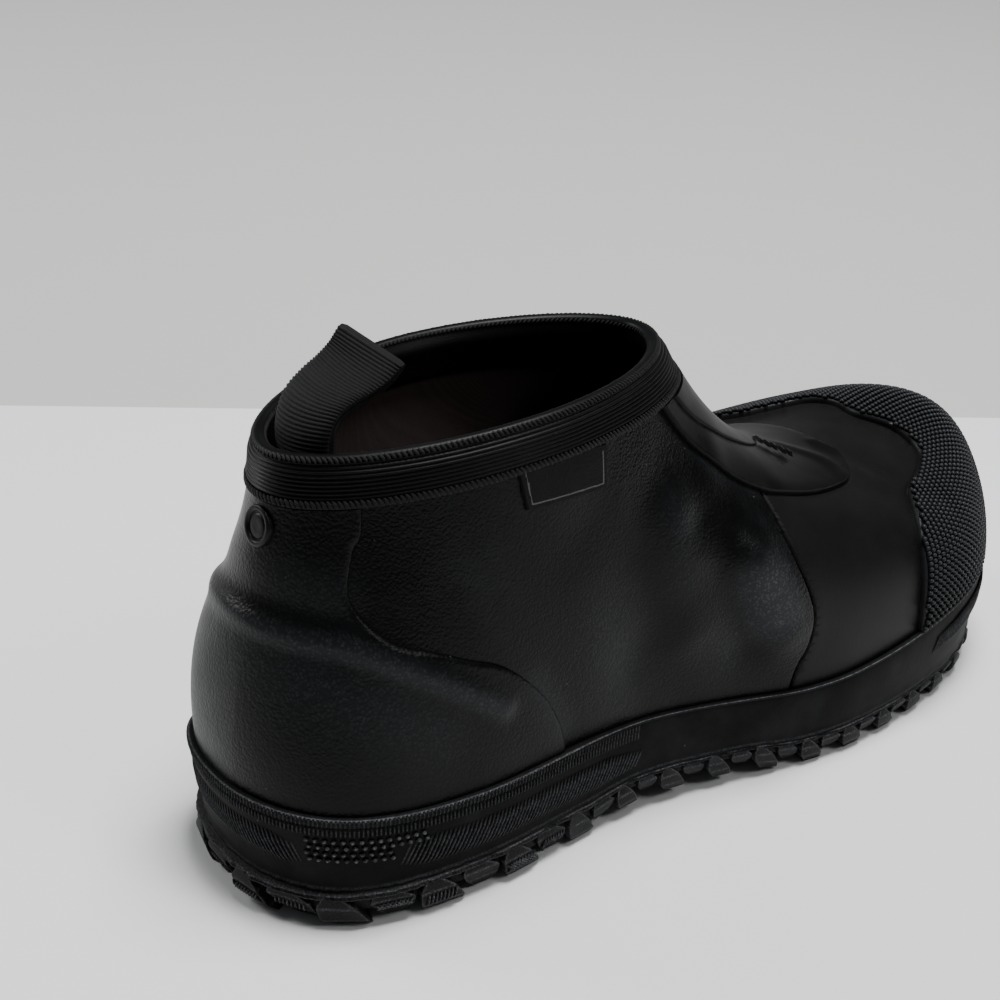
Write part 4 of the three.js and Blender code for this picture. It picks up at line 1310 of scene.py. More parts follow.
@dataclass
class Foxing:
    """The rubber strip round the lower edge, with its ribbed bead and heel pattern."""

    gap: float = 0.3
    thickness: float = 2.5
    bead_height: float = 2.2
    bead_proud: float = 0.5
    fine_bead: float = 0.42
    fading: tuple[float, float] = (60.0, 120.0)
    front_lean: float = 1.2
    hollow: float = 0.25
    inner_inset: float = 0.2
    top_crease: float = 0.25
    flash: float = 0.7
    columns: int = 640
    seed: int = 11
    rib_pitch: float = 1.2
    slant_pitch: float = 1.44
    ribbed: tuple[float, float] = (-0.175, 0.245)
    toe_ribbed: tuple[float, float] = (0.375, 0.600)
    slant_ends: tuple[float, float] = (0.004, 0.006)
    dotted: tuple[float, float] = (0.060, 0.118)
    dot_pitch: float = 2.5
    dot_step: float = 0.76
    dot_drop: float = 6.6
    dot_rows: int = 4
    dot_shift: float = 0.0017
    long_rows: int = 2
    long_reach: float = 0.022

    @property
    def proud(self) -> float:
        """How far the strip's face stands off the form."""
        return self.gap + self.thickness

    def bead(self, y: Array) -> Array:
        """Gives the bead's share of its full size at y, which is smaller ahead of the heel."""
        t = np.clip((y - self.fading[0]) / (self.fading[1] - self.fading[0]), 0, 1)
        return 1 + (self.fine_bead - 1) * t * t * (3 - 2 * t)

    def place(self, u: Array, drop: float, offset: float) -> Array:
        """Gives points on the strip."""
        known = 8.0
        v = height_line(u, LAST.foxing_top)
        down = height_line(u, lambda y: LAST.foxing_top(y) - known)
        return LAST.skin(u, v + (down - v) * drop / known, offset, 0)

    def facing(self, u: Array, drop: float) -> Array:
        """Gives the strip's normals at places round the shoe and a drop below its top."""
        return LAST.normal(u, height_line(u, lambda y: LAST.foxing_top(y) - drop))

    def build(self, material: Material) -> None:
        """Makes the strip as one closed band with a frayed lower edge.

        Args:
            material: Its finish.
        """
        u = np.arange(self.columns) / self.columns
        low = height_line(u, lambda y: LAST.sole_top(y) + self.gap)
        root = height_line(u, lambda y: LAST.foxing_top(y) - self.bead_height * self.bead(y))
        size = self.bead(LAST.plan(u)[:, 1])
        top = height_line(u, LAST.foxing_top)
        outer = self.proud
        random = np.random.default_rng(self.seed)
        ragged = np.convolve(random.random(self.columns + 6), np.ones(3) / 3, "same")[3:-3]
        sections = [(low, outer + self.flash * ragged, 0.0),
                    (low + 0.04 * (root - low), outer + 0.5 * self.flash * ragged, 0.3)]
        lean = self.front_lean * (1 - size) / (1 - self.fine_bead)
        for s in np.linspace(0.07, 0.96, 9):
            face = outer - self.hollow * math.sin(math.pi * s) - lean * s ** 3
            sections.append((low + s * (root - low), face, 0.0))
        sections.append((root, outer - 0.1 - lean, 0.0))
        for angle in np.linspace(-80, 90, 9):
            lift = 0.5 * (1 + math.sin(math.radians(angle)))
            proud = self.bead_proud * math.cos(math.radians(angle)) ** 0.7 if angle < 90 else -0.4
            # The upper face of the bead is painted pale: a painted highlight along its crest
            pale = 1.0 if 30 < angle < 80 else 0.1
            sections.append((root + lift * (top - root), outer - lean + proud * size, pale))
        sections += [(v, self.gap - self.inner_inset, 0.0) for v in (top, low)]
        rows = np.array([LAST.skin(u, v, offset, self.top_crease if v is top else 0.0)
                         for v, offset, _ in sections])
        obj = ring_object("foxing_strip", rows, material)
        # Pale value by row: the painted highlight on the bead's crest
        paint(obj, "wear_and_highlight", np.repeat([wear_and_highlight for *_, wear_and_highlight in sections], self.columns))
        sharpen(obj, 60)
        settle(obj, "foxing_rubber", "foxing")

    def spread(self, span: tuple[float, float], pitch: float, drop: float) -> Array:
        """Gives u at an even pitch along the strip."""
        u = np.linspace(*span, 400)
        length = run_length(self.place(u, drop, self.proud))
        return np.interp(np.arange(pitch / 2, length[-1], pitch), length, u)

    def build_pattern(self, rib: Repeat, bump: Repeat, material: Material) -> None:
        """Makes the ribs over the bead, the slanted ribs below it and the field of dots."""
        u = self.spread(self.ribbed, self.rib_pitch, 1.1)
        fade = np.clip(np.minimum(u - self.ribbed[0], self.ribbed[1] - u) / 0.06, 0.05, 1)
        size = np.stack([np.ones(len(u)), np.ones(len(u)), fade], -1)
        # Each rib and dot gets a paler top: painted highlights, and scuffed tops
        for name, drop, out, shape, pale in (
                ("foxing_bead_ribs", 1.15, 0.36, (0.7, 2.3, 0.45), 0.3),
                ("foxing_short_ribs", 3.9, -0.16, (0.75, 3.2, 0.6), 0.4)):
            spots = Spots().add(self.place(u, drop, self.proud + out), self.facing(u, drop), UP, size)
            settle(rib.make(name, spots, shape, material, wear_and_highlight=pale), "foxing_rubber")
        slanted = rib.make("foxing_slant_ribs", self.slanted(), (0.85, 10.5, 0.75), material, wear_and_highlight=0.45)
        settle(slanted, "foxing_rubber")
        dots = bump.make("foxing_dots", self.dots(), (1.9, 1.3, 0.95), material, wear_and_highlight=1.0, smooth=True)
        settle(dots, "foxing_rubber")

    def slanted(self) -> Spots:
        """Gives the places of the slanted ribs, on both sides of the dots and round the toe."""
        behind, ahead = self.slant_ends
        spots = Spots()
        for low, high, slant, drop in ((self.ribbed[0], self.dotted[0] - behind, 0.5, 11.5),
                                       (self.dotted[1] + ahead, self.ribbed[1], -0.5, 12.5),
                                       (*self.toe_ribbed, -0.5, 9.0)):
            u = self.spread((low, high), self.slant_pitch, drop)
            normal = self.facing(u, drop)
            fade = np.clip(np.minimum(u - low + 0.004, high - u + 0.004) / 0.02, 0.2, 1)
            scales = np.stack([np.ones(len(u)), 0.55 + 0.45 * fade, fade], -1)
            way = UP + slant * units(np.cross(normal, UP))
            spots.add(self.place(u, drop, self.proud - 0.26), normal, way, scales)
        return spots

    def dots(self) -> Spots:
        """Gives the places of the staggered rows of dots, of which the upper ones are longer."""
        spots = Spots()
        for row in range(self.dot_rows):
            drop = self.dot_drop + row * self.dot_pitch * self.dot_step
            reach = self.dotted[1] + (self.long_reach if row < self.long_rows else 0.0)
            u = self.spread((self.dotted[0], reach), self.dot_pitch, drop) + (row % 2) * self.dot_shift
            spots.add(self.place(u, drop, self.proud - 0.05), self.facing(u, drop), UP)
        return spots


@dataclass
class ToeGuard:
    """The thick bumper over the toe and its moulded bumps."""

    gap: float = 0.3
    thickness: float = 2.1
    edge_radius: float = 0.4
    relief: float = 0.85
    sink: float = 0.25
    pitch: float = 2.8
    row_step: float = 0.78
    bump: tuple[float, float, float] = (0.96, 0.76, 1.15)
    margin: float = 0.25
    limit: float = 96.0
    span: tuple[float, float] = (0.325, 0.705)
    region: Region = field(default_factory=lambda: LAST.plan_region(GUARD_LINE, LAST.inner_half, True))

    def foot(self, y: Array) -> Array:
        """Gives the height of the guard's lower edge at y."""
        return LAST.foxing_top(y) + self.gap

    def build(self, material: Material) -> None:
        """Makes the bumper with a rounded rear edge."""
        r = self.edge_radius
        patch = Patch(self.span, self.foot, level_line(self.limit), 190, 90)
        patch.cut(self.region, [0.0, 0.1 * r, 0.35 * r, r], trim=True)
        rise = (self.gap + self.thickness - self.relief) * rounded(patch.depth(self.region), r)
        settle(patch.shell("toe_bumper", rise, -0.7, material), "guard_rubber", "toe_guard")

    def build_bumps(self, bump: Repeat, material: Material) -> None:
        """Makes the staggered rows of bumps, each row an even distance above the last.

        Args:
            bump: The tree for bumps.
            material: Their finish.
        """
        table = np.linspace(*self.span, 161)
        low, high = height_line(table, self.foot), height_line(table, level_line(self.limit))
        shares = np.linspace(0, 1, 241)
        grid = np.array([LAST.bare(table, low + (high - low) * s) for s in shares])
        climb = np.cumsum(np.linalg.norm(np.diff(grid, axis=0), axis=2), axis=0)
        climb = np.vstack([np.zeros(len(table)), climb])
        spots = Spots()
        step = self.pitch * self.row_step
        stand = self.gap + self.thickness - self.relief + self.sink
        for row in range(int(climb.max() / step)):
            level = (row + 0.6) * step
            share = np.array([np.interp(level, rise, shares, right=2.0) for rise in climb.T])
            v = low + (high - low) * np.clip(share, 0, 1)
            length = run_length(LAST.bare(table, v))
            at = np.arange((0.25 + 0.5 * (row % 2)) * self.pitch, length[-1], self.pitch)
            u = np.interp(at, length, table)
            u = u[np.interp(u, table, share) <= 1.0]
            w = np.interp(u, table, v)
            keep = self.region.depth(LAST.bare(u, w)) > self.margin
            u, w = u[keep], w[keep]
            if len(u):
                up = LAST.bare(u, np.clip(w + 0.004, 0, 1)) - LAST.bare(u, np.clip(w - 0.004, 0, 1))
                spots.add(LAST.skin(u, w, stand), LAST.normal(u, w), units(up))
        size = (self.pitch * self.bump[0], self.pitch * self.bump[1], self.bump[2])
        # The bumps' tops are painted paler: painted highlights on the guard's relief
        settle(bump.make("toe_pyramids", spots, size, material, wear_and_highlight=0.5, smooth=True), "guard_rubber")


@dataclass
class HeelCounter:
    """The overlay round the heel."""

    gap: float = 0.3
    thickness: float = 1.0
    edge_radius: float = 1.5
    tuck: float = 1.0
    span: tuple[float, float] = (-0.3, 0.3)
    region: Region = field(default_factory=lambda: LAST.side_region(COUNTER_LINE, False))

    def build(self, rim: Height, material: Material) -> None:
        """Makes the overlay."""
        r = self.edge_radius
        patch = Patch(self.span, lambda y: LAST.foxing_top(y) - self.tuck, rim, 300, 90)
        patch.cut(self.region, [0.0, 0.08 * r, 0.3 * r, r], trim=True)
        rise = (self.gap + self.thickness) * rounded(patch.depth(self.region), r)
        obj = patch.shell("heel_overlay", rise, -0.3, material)
        # Painted highlights along the counter's ridge and edges
        paint_highlights(obj)
        settle(obj, "counter_rubber", "heel_counter")


@dataclass
class Gusset:
    """The pad over the instep with its raised fold."""

    gap: float = 0.3
    thickness: float = 1.4
    fold: float = 0.9
    edge_radius: float = 0.4
    quarter_step: float = 0.6
    limit: float = 68.0
    span: tuple[float, float] = (0.2, 0.8)
    ribs: int = 5
    rib_start: tuple[float, float] = (13.0, 193.0)
    rib_step: tuple[float, float] = (1.5, 2.3)
    rib_way: tuple[float, float, float] = (0.9, -0.35, 0.0)
    pad_region: Region = field(
        default_factory=lambda: LAST.plan_region(GUSSET_LINE, LAST.outer_half, False))
    fold_region: Region = field(
        default_factory=lambda: LAST.plan_region(FOLD_LINE, LAST.outer_half, False))

    def build(self, rim: Height, material: Material) -> None:
        """Makes the pad and its fold as one layer."""
        r = self.edge_radius
        patch = Patch(self.span, level_line(self.limit), rim, 240, 130)
        patch.cut(self.pad_region, [0.0, 0.1 * r, 0.35 * r, r], trim=True)
        patch.cut(self.fold_region, [0.0, 0.15 * r, 0.45 * r, 1.3 * r])
        rise = (self.gap + self.thickness) * rounded(patch.depth(self.pad_region), r)
        rise = rise - self.quarter_drop(patch) + self.fold * rounded(patch.depth(self.fold_region), 1.3 * r)
        settle(patch.shell("instep_pad", rise, -1.0, material), "gusset_rubber", "instep_gusset")

    def quarter_drop(self, patch: Patch) -> Array:
        """Gives how far the pad's thin edge lies lower where it rests on the vamp."""
        ahead = np.clip(patch.depth(LAST.side_region(SEAM_LINE, True)) / 3.0, 0, 1)
        return self.quarter_step * ahead * (1 - rounded(patch.depth(self.pad_region), 4.0))

    def build_ribs(self, rib: Repeat, material: Material) -> None:
        """Makes the few plain grip ribs at the fold's front end."""
        target = np.array(self.rib_start) + np.arange(self.ribs)[:, None] * np.array(self.rib_step)
        u, v = self.seek(target)
        points = LAST.skin(u, v, self.gap + self.thickness + self.fold + 0.1)
        spots = Spots().add(points, LAST.normal(u, v), self.rib_way)
        settle(rib.make("instep_grip_ribs", spots, (1.4, 5.6, 1.2), material), "gusset_rubber")

    @staticmethod
    def seek(target: Array) -> tuple[Array, Array]:
        """Gives u and v of the form's top at places seen from above."""
        u, v = (a.ravel() for a in np.meshgrid(np.linspace(0.3, 0.7, 240), np.linspace(0.35, 0.95, 200)))
        flat = LAST.bare(u, v)[:, :2]
        best = [int(np.argmin(np.hypot(*(flat - t).T))) for t in target]
        return u[best], v[best]


@dataclass
class Binding:
    """The ribbed band folded over the collar, with its overlock stitches."""

    height: float = 14.0
    thickness: float = 1.8
    gap: float = 0.3
    wall: float = 2.5
    ribs: int = 9
    rib_steps: int = 6
    rib_relief: float = 0.55
    rib_span: tuple[float, float] = (2.4, 1.3)
    cap_steps: int = 12
    outer_lean: float = 1.5
    inner_lean: float = 2.1
    lean_height: float = 5.5
    columns: int = 320
    stitch_pitch: float = 1.45

    @property
    def outer(self) -> float:
        """How far the band's outer face stands off the form."""
        return self.gap + self.thickness

    @property
    def inner(self) -> float:
        """How far its inner face stands off the form, to the inside."""
        return -(self.wall + self.gap + self.thickness)

    def low(self, y: Array) -> Array:
        """Gives the height just below the band at y."""
        return LAST.collar_top(y) - self.height - self.gap

    def lean(self, drop: float, amount: float) -> float:
        """Gives how far a face leans in towards the band's narrow top."""
        share = min(1.0, max(0.0, 1 - drop / self.lean_height))
        return amount * share * share * (3 - 2 * share)

    def section(self) -> list[tuple[float, float]]:
        """Gives the band's section: drops below the collar's top, and distances off the form."""
        outer, inner = self.outer, self.inner
        corners = [(self.height, outer - 0.5), (self.height - 0.25, outer - 0.1)]
        first, last = self.height - self.rib_span[0], self.rib_span[1]
        count = self.ribs * self.rib_steps
        for k in range(count + 1):
            drop = first + (last - first) * k / count
            dent = self.rib_relief * (0.5 + 0.5 * math.cos(2 * math.pi * k / self.rib_steps)) ** 1.5
            corners.append((drop, outer - self.lean(drop, self.outer_lean) - dent))
        outer_top = outer - self.lean(last, self.outer_lean)
        inner_top = inner + self.lean(last, self.inner_lean)
        middle, half = (outer_top + inner_top) / 2, (outer_top - inner_top) / 2
        for k in range(1, self.cap_steps):
            angle = math.pi * k / self.cap_steps
            out = math.copysign(abs(math.cos(angle)) ** 0.85, math.cos(angle))
            corners.append((last * (1 - math.sin(angle)), middle + half * out))
        corners += [(drop, inner + self.lean(drop, self.inner_lean))
                    for drop in np.linspace(last, self.height - 0.4, 14)]
        roof, face = self.thickness + 0.4, -self.wall - 0.1
        return corners + [(self.height, inner + 0.4), (self.height, face), (roof, face), (roof, 0.1),
                          (self.height, 0.1)]

    def build(self, material: Material) -> None:
        """Makes the band as one closed section."""
        drops, offsets = zip(*self.section())
        u = np.arange(self.columns) / self.columns
        places = band_places(u, np.array(drops), LAST.collar_top)
        rows = np.array([LAST.skin(u, v, offset, 0) for v, offset in zip(places, offsets)])
        settle(ring_object("collar_band", rows, material), "binding_rubber", "collar_binding")

    def row(self, drop: float, offset: float, lean: float, lift: float) -> Spots:
        """Gives an even row of stitches round the band."""
        table = np.linspace(0, 1, 721)
        v = band_places(table, np.array([drop, drop + 0.5]), LAST.collar_top)[0]
        length = run_length(LAST.skin(table, v, offset, 0))
        count = round(length[-1] / self.stitch_pitch)
        u = np.interp(np.arange(count) * length[-1] / count, length, table)
        w = np.interp(u, table, v)
        normal = LAST.normal(u, w) * math.copysign(1, offset)
        return Spots().add(LAST.skin(u, w, offset, 0), normal * (1 - lift) + UP * lift,
                           UP + lean * np.cross(normal, UP))

    def build_stitches(self, bead: Repeat, material: Material) -> None:
        """Makes the rope-like rows along the band's edges."""
        top_outer, top_inner = self.outer - self.outer_lean, self.inner + self.inner_lean
        for name, row, size in (
                ("band_lower_stitches", (self.height - 1.3, self.outer - 0.15, 0.9, 0.0), (1.15, 3.0, 1.1)),
                ("band_upper_stitches", (1.0, top_outer + 0.1, 0.8, 0.4), (0.95, 2.4, 0.9)),
                ("band_inner_stitches", (1.0, top_inner - 0.1, -0.8, 0.4), (0.95, 2.2, 0.8))):
            made = bead.make(name, self.row(*row), size, material, unevenness=0.08, smooth=True)
            settle(made, "binding_rubber")


@dataclass
class SideLabel:
    """The small bare label under the band, with a plain woven line round it."""

    setback: float = 68.0
    length: float = 31.0
    height: float = 12.0
    slant: float = 3.0
    gap: float = 0.3
    thickness: float = 0.9
    edge_radius: float = 0.4
    border: tuple[float, float] = (1.5, 1.9)
    span: tuple[float, float] = (0.2, 0.42)

    def build(self, rim: Height, weave: Material, thread: Material) -> None:
        """Makes the label and colours its border line."""
        front = self.setback + self.length
        top = float(rim(np.array(self.setback + self.length / 2)))
        first = (self.setback + self.slant, top - self.height)
        corners = [first, (front, top - self.height), (front, top + 1), (self.setback, top + 1), first]
        region = Region(View.SIDE, np.array(corners))
        patch = Patch(self.span, lambda y: rim(y) - self.height - 2, rim, 150, 40)
        patch.cut(region, [0.0, 0.15, self.edge_radius, *self.border], trim=True)
        rise = (self.gap + self.thickness) * rounded(patch.depth(region), self.edge_radius)
        obj = patch.shell("side_tag", rise, -0.3, weave)
        centres = LAST.face_centres(obj)
        depth = region.depth(centres)
        upward = np.array([p.normal.x for p in obj.data.polygons]) > 0.3
        in_border = (depth > self.border[0]) & (depth < self.border[1])
        paint_faces(obj, in_border & upward & (centres[:, 2] < top - 1.0), thread)
        settle(obj, "label_weave", "side_label")


@dataclass
class HeelButton:
    """The round dished button at the back."""

    diameter: float = 11.4
    drop: float = 6.9
    stand: float = 2.2
    segments: int = 72

    def section(self) -> list[tuple[float, float]]:
        """Gives the button's radii and heights, from the middle of its foot to that of its face."""
        r, s = self.diameter / 2, self.stand
        return [(0, 0.2), (r, 0.2), (r, s - 0.6), (r - 0.15, s - 0.2), (r - 0.5, s), (r - 1.2, s),
                (r - 1.6, s - 0.25), (r - 1.8, s - 0.75), (r - 2.2, s - 0.8), (r - 2.5, s - 0.5),
                (r - 3.0, s - 0.35), (r - 4.4, s - 0.42), (0, s - 0.5)]

    def build(self, rim: Height, material: Material) -> None:
        """Makes the button as a turned shape that stands along the form's normal.

        Args:
            rim: The line under the binding.
            material: Its finish.
        """
        section = self.section()
        u = np.zeros(1)
        height = rim(LAST.collar(u)[:, 1]) - self.drop
        v = height_line(u, level_line(height[0]))
        origin, normal = LAST.bare(u, v)[0], LAST.normal(u, v)[0]
        side = units(ACROSS - normal * (ACROSS @ normal))
        n = self.segments
        angle = 2 * np.pi * np.arange(n) / n
        ring = np.cos(angle)[:, None] * side + np.sin(angle)[:, None] * np.cross(normal, side)
        rings = [origin + ring * radius + normal * rise for radius, rise in section[1:-1]]
        ends = [origin + normal * section[k][1] for k in (0, -1)]
        vertices = np.vstack([ends[0], *rings, ends[1]])
        last = len(vertices) - 1
        faces = [[0, 1 + (i + 1) % n, 1 + i] for i in range(n)]
        faces += [[1 + k for k in face] for face in band_faces(len(rings), n)]
        faces += [[last, last - n + i, last - n + (i + 1) % n] for i in range(n)]
        obj = new_object("heel_stud", vertices, faces, material)
        sharpen(obj, 45)
        settle(obj, "button_rubber", "heel_button")


@dataclass
class PullLoop:
    """The ribbed webbing loop, folded forward and turned over."""

    width: float = 22.0
    thickness: float = 1.5
    length: float = 50.0
    twist: float = 27.0
    gap: float = 0.5
    collar_wall: float = 4.9
    back_radius: float = 11.0
    ribs: int = 40
    rib_relief: float = 0.34
    samples: int = 7
    across: int = 14
    cap_samples: int = 7
    selvedge: float = 0.9

    def course(self, t: Array) -> tuple[Array, Array, Array, Array]:
        """Follows the webbing's middle."""
        back = LAST.collar(np.zeros(1))[0]
        face = back[1] + self.collar_wall + self.thickness + 2 * self.gap
        line = smooth_line([(face + a * self.length, back[2] + h * self.length) for a, h in LOOP_LINE], 24)
        length = run_length(line)
        path = np.stack([0 * t, *(np.interp(t * length[-1], length, line[:, k]) for k in (0, 1))], -1)
        tangent = units(np.gradient(path, axis=0))
        turn = (math.radians(self.twist) * t ** 1.5)[:, None]
        axis = np.cos(turn) * ACROSS + np.sin(turn) * np.cross(tangent, ACROSS)
        normal = np.cross(axis, tangent)
        normal *= np.sign((normal * np.cross(ACROSS, tangent)).sum(1))[:, None]
        return path + ACROSS * back[0], tangent, axis, normal

    def rings(self, t: Array) -> Array:
        """Gives the sections along the loop, from one selvedge to the other.

        Args:
            t: Shares of its length.

        Returns:
            The points of each section, which run over the outside, the turned end and the inside.
        """
        path, tangent, axis, normal = self.course(t)
        rib = self.rib_relief * (0.5 - 0.5 * np.cos(2 * np.pi * self.ribs * t)) ** 0.6
        half = self.gap / 2
        angles = np.linspace(0.25, math.pi - 0.25, self.cap_samples)[:, None]
        rings = []
        for k in range(self.across + 1):
            share = 2 * k / self.across - 1
            past = max(0.0, abs(share) - self.selvedge)
            edge = math.sqrt(max(0.0, 1 - past ** 2 / 0.012)) if abs(share) < 1 else 0.25
            x = self.width / 2 * share
            curl = (1 - t) * x * x / (2 * self.back_radius)
            middle = path + axis * x + curl[:, None] * AHEAD
            thick = self.thickness * (0.55 + 0.45 * edge)
            wave = (half + thick - self.rib_relief + rib * (1 if edge > 0.3 else 1.6))[:, None]
            cap = (middle[-1] + normal[-1] * wave[-1] * np.cos(angles)
                   + tangent[-1] * (half + thick) * 0.9 * np.sin(angles))
            rings.append(np.vstack([middle + normal * wave, cap, (middle - normal * wave)[::-1],
                                    middle - normal * half, (middle + normal * half)[::-1]]))
        return np.array(rings)

    def build(self, material: Material) -> None:
        """Makes both legs and the fold as one closed ribbed band."""
        outer = self.ribs * self.samples + 1
        rings = self.rings(np.linspace(0, 1, outer))
        count, n = rings.shape[:2]
        faces = band_faces(count, n)
        first = outer + self.cap_samples
        end = [*range(outer - 1, first + 1), first + 2 * outer - 1, first + 2 * outer]
        for start, flip in ((0, True), ((count - 1) * n, False)):
            corners = [(i, i + 1, n - 2 - i, n - 1 - i) for i in range(outer - 1)]
            corners += [(first + i, first + i + 1, first + 2 * outer - 2 - i, first + 2 * outer - 1 - i)
                        for i in range(outer - 1)]
            faces += [[start + k for k in (face if flip else face[::-1])] for face in [*corners, end]]
        obj = new_object("pull_webbing", rings.reshape(-1, 3), faces, material)
        with mesh_edit(obj) as bm:
            bmesh.ops.recalc_face_normals(bm, faces=bm.faces)
        sharpen(obj, 70)
        settle(obj, "webbing", "pull_loop")


@dataclass(frozen=True)
class EdgeLug:
    """One lug at the sole's edge: its place, its size along the edge and how it is cut."""

    u: float
    per_mm: float
    half: float
    lean: float
    large: bool
    number: int


@dataclass
class Outsole:
    """The moulded sole: a plate with a pale scuffed flange that also carries a painted highlight, edge lugs
    and chevron bars.
    """

    heel_pitch: float = 13.6
    front_pitch: float = 8.8
    heel_end: float = 105.0
    heel_blend: float = 40.0
    large_pitch: float = 11.5
    lug_share: float = 0.94
    lug_reach: float = 10.0
    small_reach: float = 0.8
    bar: float = 7.0
    sweep: float = 9.0
    draft: float = 0.8
    sink: float = 0.6
    bevel: float = 0.7
    # Paleness of the lugs' rounded edges and flat faces: painted highlight and scuffs
    edge_wear_and_highlight: float = 0.65
    face_wear_and_highlight: float = 0.1
    rib_size: tuple[float, float, float] = (0.5, 4.0, 0.8)
    count: int = 640
    edge_seed: int = 5
    lug_seed: int = 3
    foxing_face: float = 1.6
    flange: tuple[float, float] = (0.66, 0.92)
    chevrons: tuple[tuple[float, float], ...] = (
        (0.065, 0.46), (0.130, 0.56), (0.195, 0.60), (0.255, 0.60), (0.590, 0.64), (0.650, 0.68),
        (0.710, 0.70), (0.765, 0.68), (0.825, 0.62), (0.885, 0.50))

    def lip(self, u: Array) -> Array:
        """Gives how far the flange stands out of the lug tips' outline."""
        return LAST.sole_thickness * LAST.ring("lip", u)

    def level(self, share: float) -> Height:
        """Gives a height line of the sole's edge."""
        def height(y: Array) -> Array:
            """Gives the line's height at y."""
            root = LAST.sole_bottom(y) + LAST.lug_depth
            return root + share * (LAST.sole_top(y) - root)
        return height

    def point(self, u: Array, offset: Array | float, height: Height) -> Array:
        """Gives outline points moved out."""
        plan, normal = LAST.outline(u)
        moved = plan + normal * np.broadcast_to(offset, u.shape)[:, None]
        return np.concatenate([moved, height(moved[:, 1])[:, None]], -1)

    def section(self) -> list[tuple[float, float, float, float]]:
        """Gives the plate's side: share of the height, distance out, raggedness and paleness from scuffs
        and a painted highlight.
        """
        low, high = self.flange
        rows = [(0.0, -2.2, 0.0, 0.0), (0.2, -1.8, 0.0, 0.0), (low - 0.12, -2.0, 0.0, 0.0),
                (low - 0.03, -0.5, 0.3, 0.0), (low, 0.1, 0.8, 0.25), (low + 0.05, 0.2, 0.9, 0.4)]
        rows += [(low + 0.05 + 0.16 * k / 8, 0.22 + 0.09 * (-1) ** k, 0.9, 0.4) for k in range(1, 9)]
        return rows + [(high - 0.02, 0.15, 1.4, 0.8), (high, -0.15, 1.2, 0.6)]

    def build(self, material: Material) -> None:
        """Makes the plate, lugs and bars as one piece."""
        u = np.arange(self.count) / self.count
        lip, section = self.lip(u), self.section()
        random = np.random.default_rng(self.edge_seed)
        ragged = np.convolve(random.random(self.count + 2) - 0.5, [0.3, 0.4, 0.3], "same")[1:-1]
        rings = [self.point(u, lip + out + ragged * rough, self.level(s)) for s, out, rough, _ in section]
        shoulder = self.level(self.flange[1] + 0.02)
        rings += [self.point(u, np.minimum(self.foxing_face + 0.5, lip), shoulder),
                  self.point(u, self.foxing_face, self.level(1.0))]
        obj = Ladder(self.count).build("sole_plate", np.array(rings), material)
        # Paleness by row: the flange is painted pale as scuffed rubber and as a painted highlight
        paint(obj, "wear_and_highlight", np.repeat([*(pale for *_, pale in section), 0.1, 0.0], self.count))
        with mesh_edit(obj) as bm:
            for stack in [*(self.lug_rings(lug) for lug in self.edge_lugs()), *self.bars()]:
                self.add_stack(bm, stack)
        obj.data.polygons.foreach_set("use_smooth", [True] * len(obj.data.polygons))
        sharpen(obj, 42)
        settle(obj, "outsole_rubber", "outsole")

    def edge_lugs(self) -> list[EdgeLug]:
        """Spaces the lugs round the edge, with larger ones at the heel."""
        table = np.linspace(0, 1, 1441)
        plan = LAST.plan(table)
        steps = np.hypot(*np.diff(plan, axis=0).T)
        share = np.clip((self.heel_end - plan[:, 1]) / self.heel_blend, 0, 1)
        pitch = self.front_pitch + (self.heel_pitch - self.front_pitch) * share
        passed = np.concatenate([[0], np.cumsum(steps / (0.5 * (pitch[1:] + pitch[:-1])))])
        count = round(passed[-1] / 2) * 2
        random = np.random.default_rng(self.lug_seed)
        lugs = []
        for k in range(count):
            u = float(np.interp((k + 0.5) * passed[-1] / count, passed, table))
            local = float(np.interp(u, table, pitch))
            per_mm = 1 / (len(steps) * float(np.interp(u, table[1:], steps)))
            half = 0.5 * self.lug_share * local * (0.94 + 0.12 * random.random())
            lean = (1.0 if k % 2 else -1.0) * local * (0.20 + 0.12 * random.random())
            lugs.append(EdgeLug(u, per_mm, half, lean, local > self.large_pitch, k))
        return lugs

    def lug_rings(self, lug: EdgeLug) -> list[Array]:
        """Gives a lug's corners from its tip up to the flange."""
        rim = float(self.lip(np.array([lug.u]))[0])
        shapes = ((None, 0.82, 0.5, -0.9), (-0.35, 1.02, 0.6 * rim + 1.3, -0.1),
                  (0.30, 0.84, rim + 1.0, 0.5), (0.88, 0.30, rim + 0.3, 0.9))
        if lug.number % 2:
            shapes = ((-0.60, 0.55, -0.9, 0.6), (-0.10, 0.86, 0.5 * rim, 0.1),
                      (0.42, 1.0, rim + 0.5, -0.3), (0.74, 0.60, rim + 0.1, -0.7))
        reach = self.lug_reach * (1.0 if lug.large else self.small_reach)
        rings = []
        for share, width, out, shift in shapes:
            height = LAST.sole_bottom if share is None else self.level(share)
            corners = []
            for side, back in ((-1, 0), (1, 0), (1, 1), (-1, 1)):
                along = side * lug.half * width * (1 - 0.3 * back) + shift * lug.lean
                offset = -reach if back else out
                corners.append(self.point(np.array([lug.u + along * lug.per_mm]), offset, height)[0])
            rings.append(np.array(corners))
        return rings

    def bars(self) -> list[list[Array]]:
        """Gives the corners of the chevron bars, from their tips up to the plate."""
        blocks = []
        for at, width in self.chevrons:
            y = at * LAST.sole_length
            for sign, reach in ((1, LAST.outer_half), (-1, LAST.inner_half)):
                local = min(reach, 0.37 * LAST.ball_width + 0.5 * max(0.0, y - 0.4 * LAST.sole_length))
                blocks.append([self.bar_ring(y, sign, width * local, grow, height) for grow, height in (
                    (0.0, LAST.sole_bottom), (self.draft, lambda y: self.level(0.0)(y) + self.sink))])
        return blocks

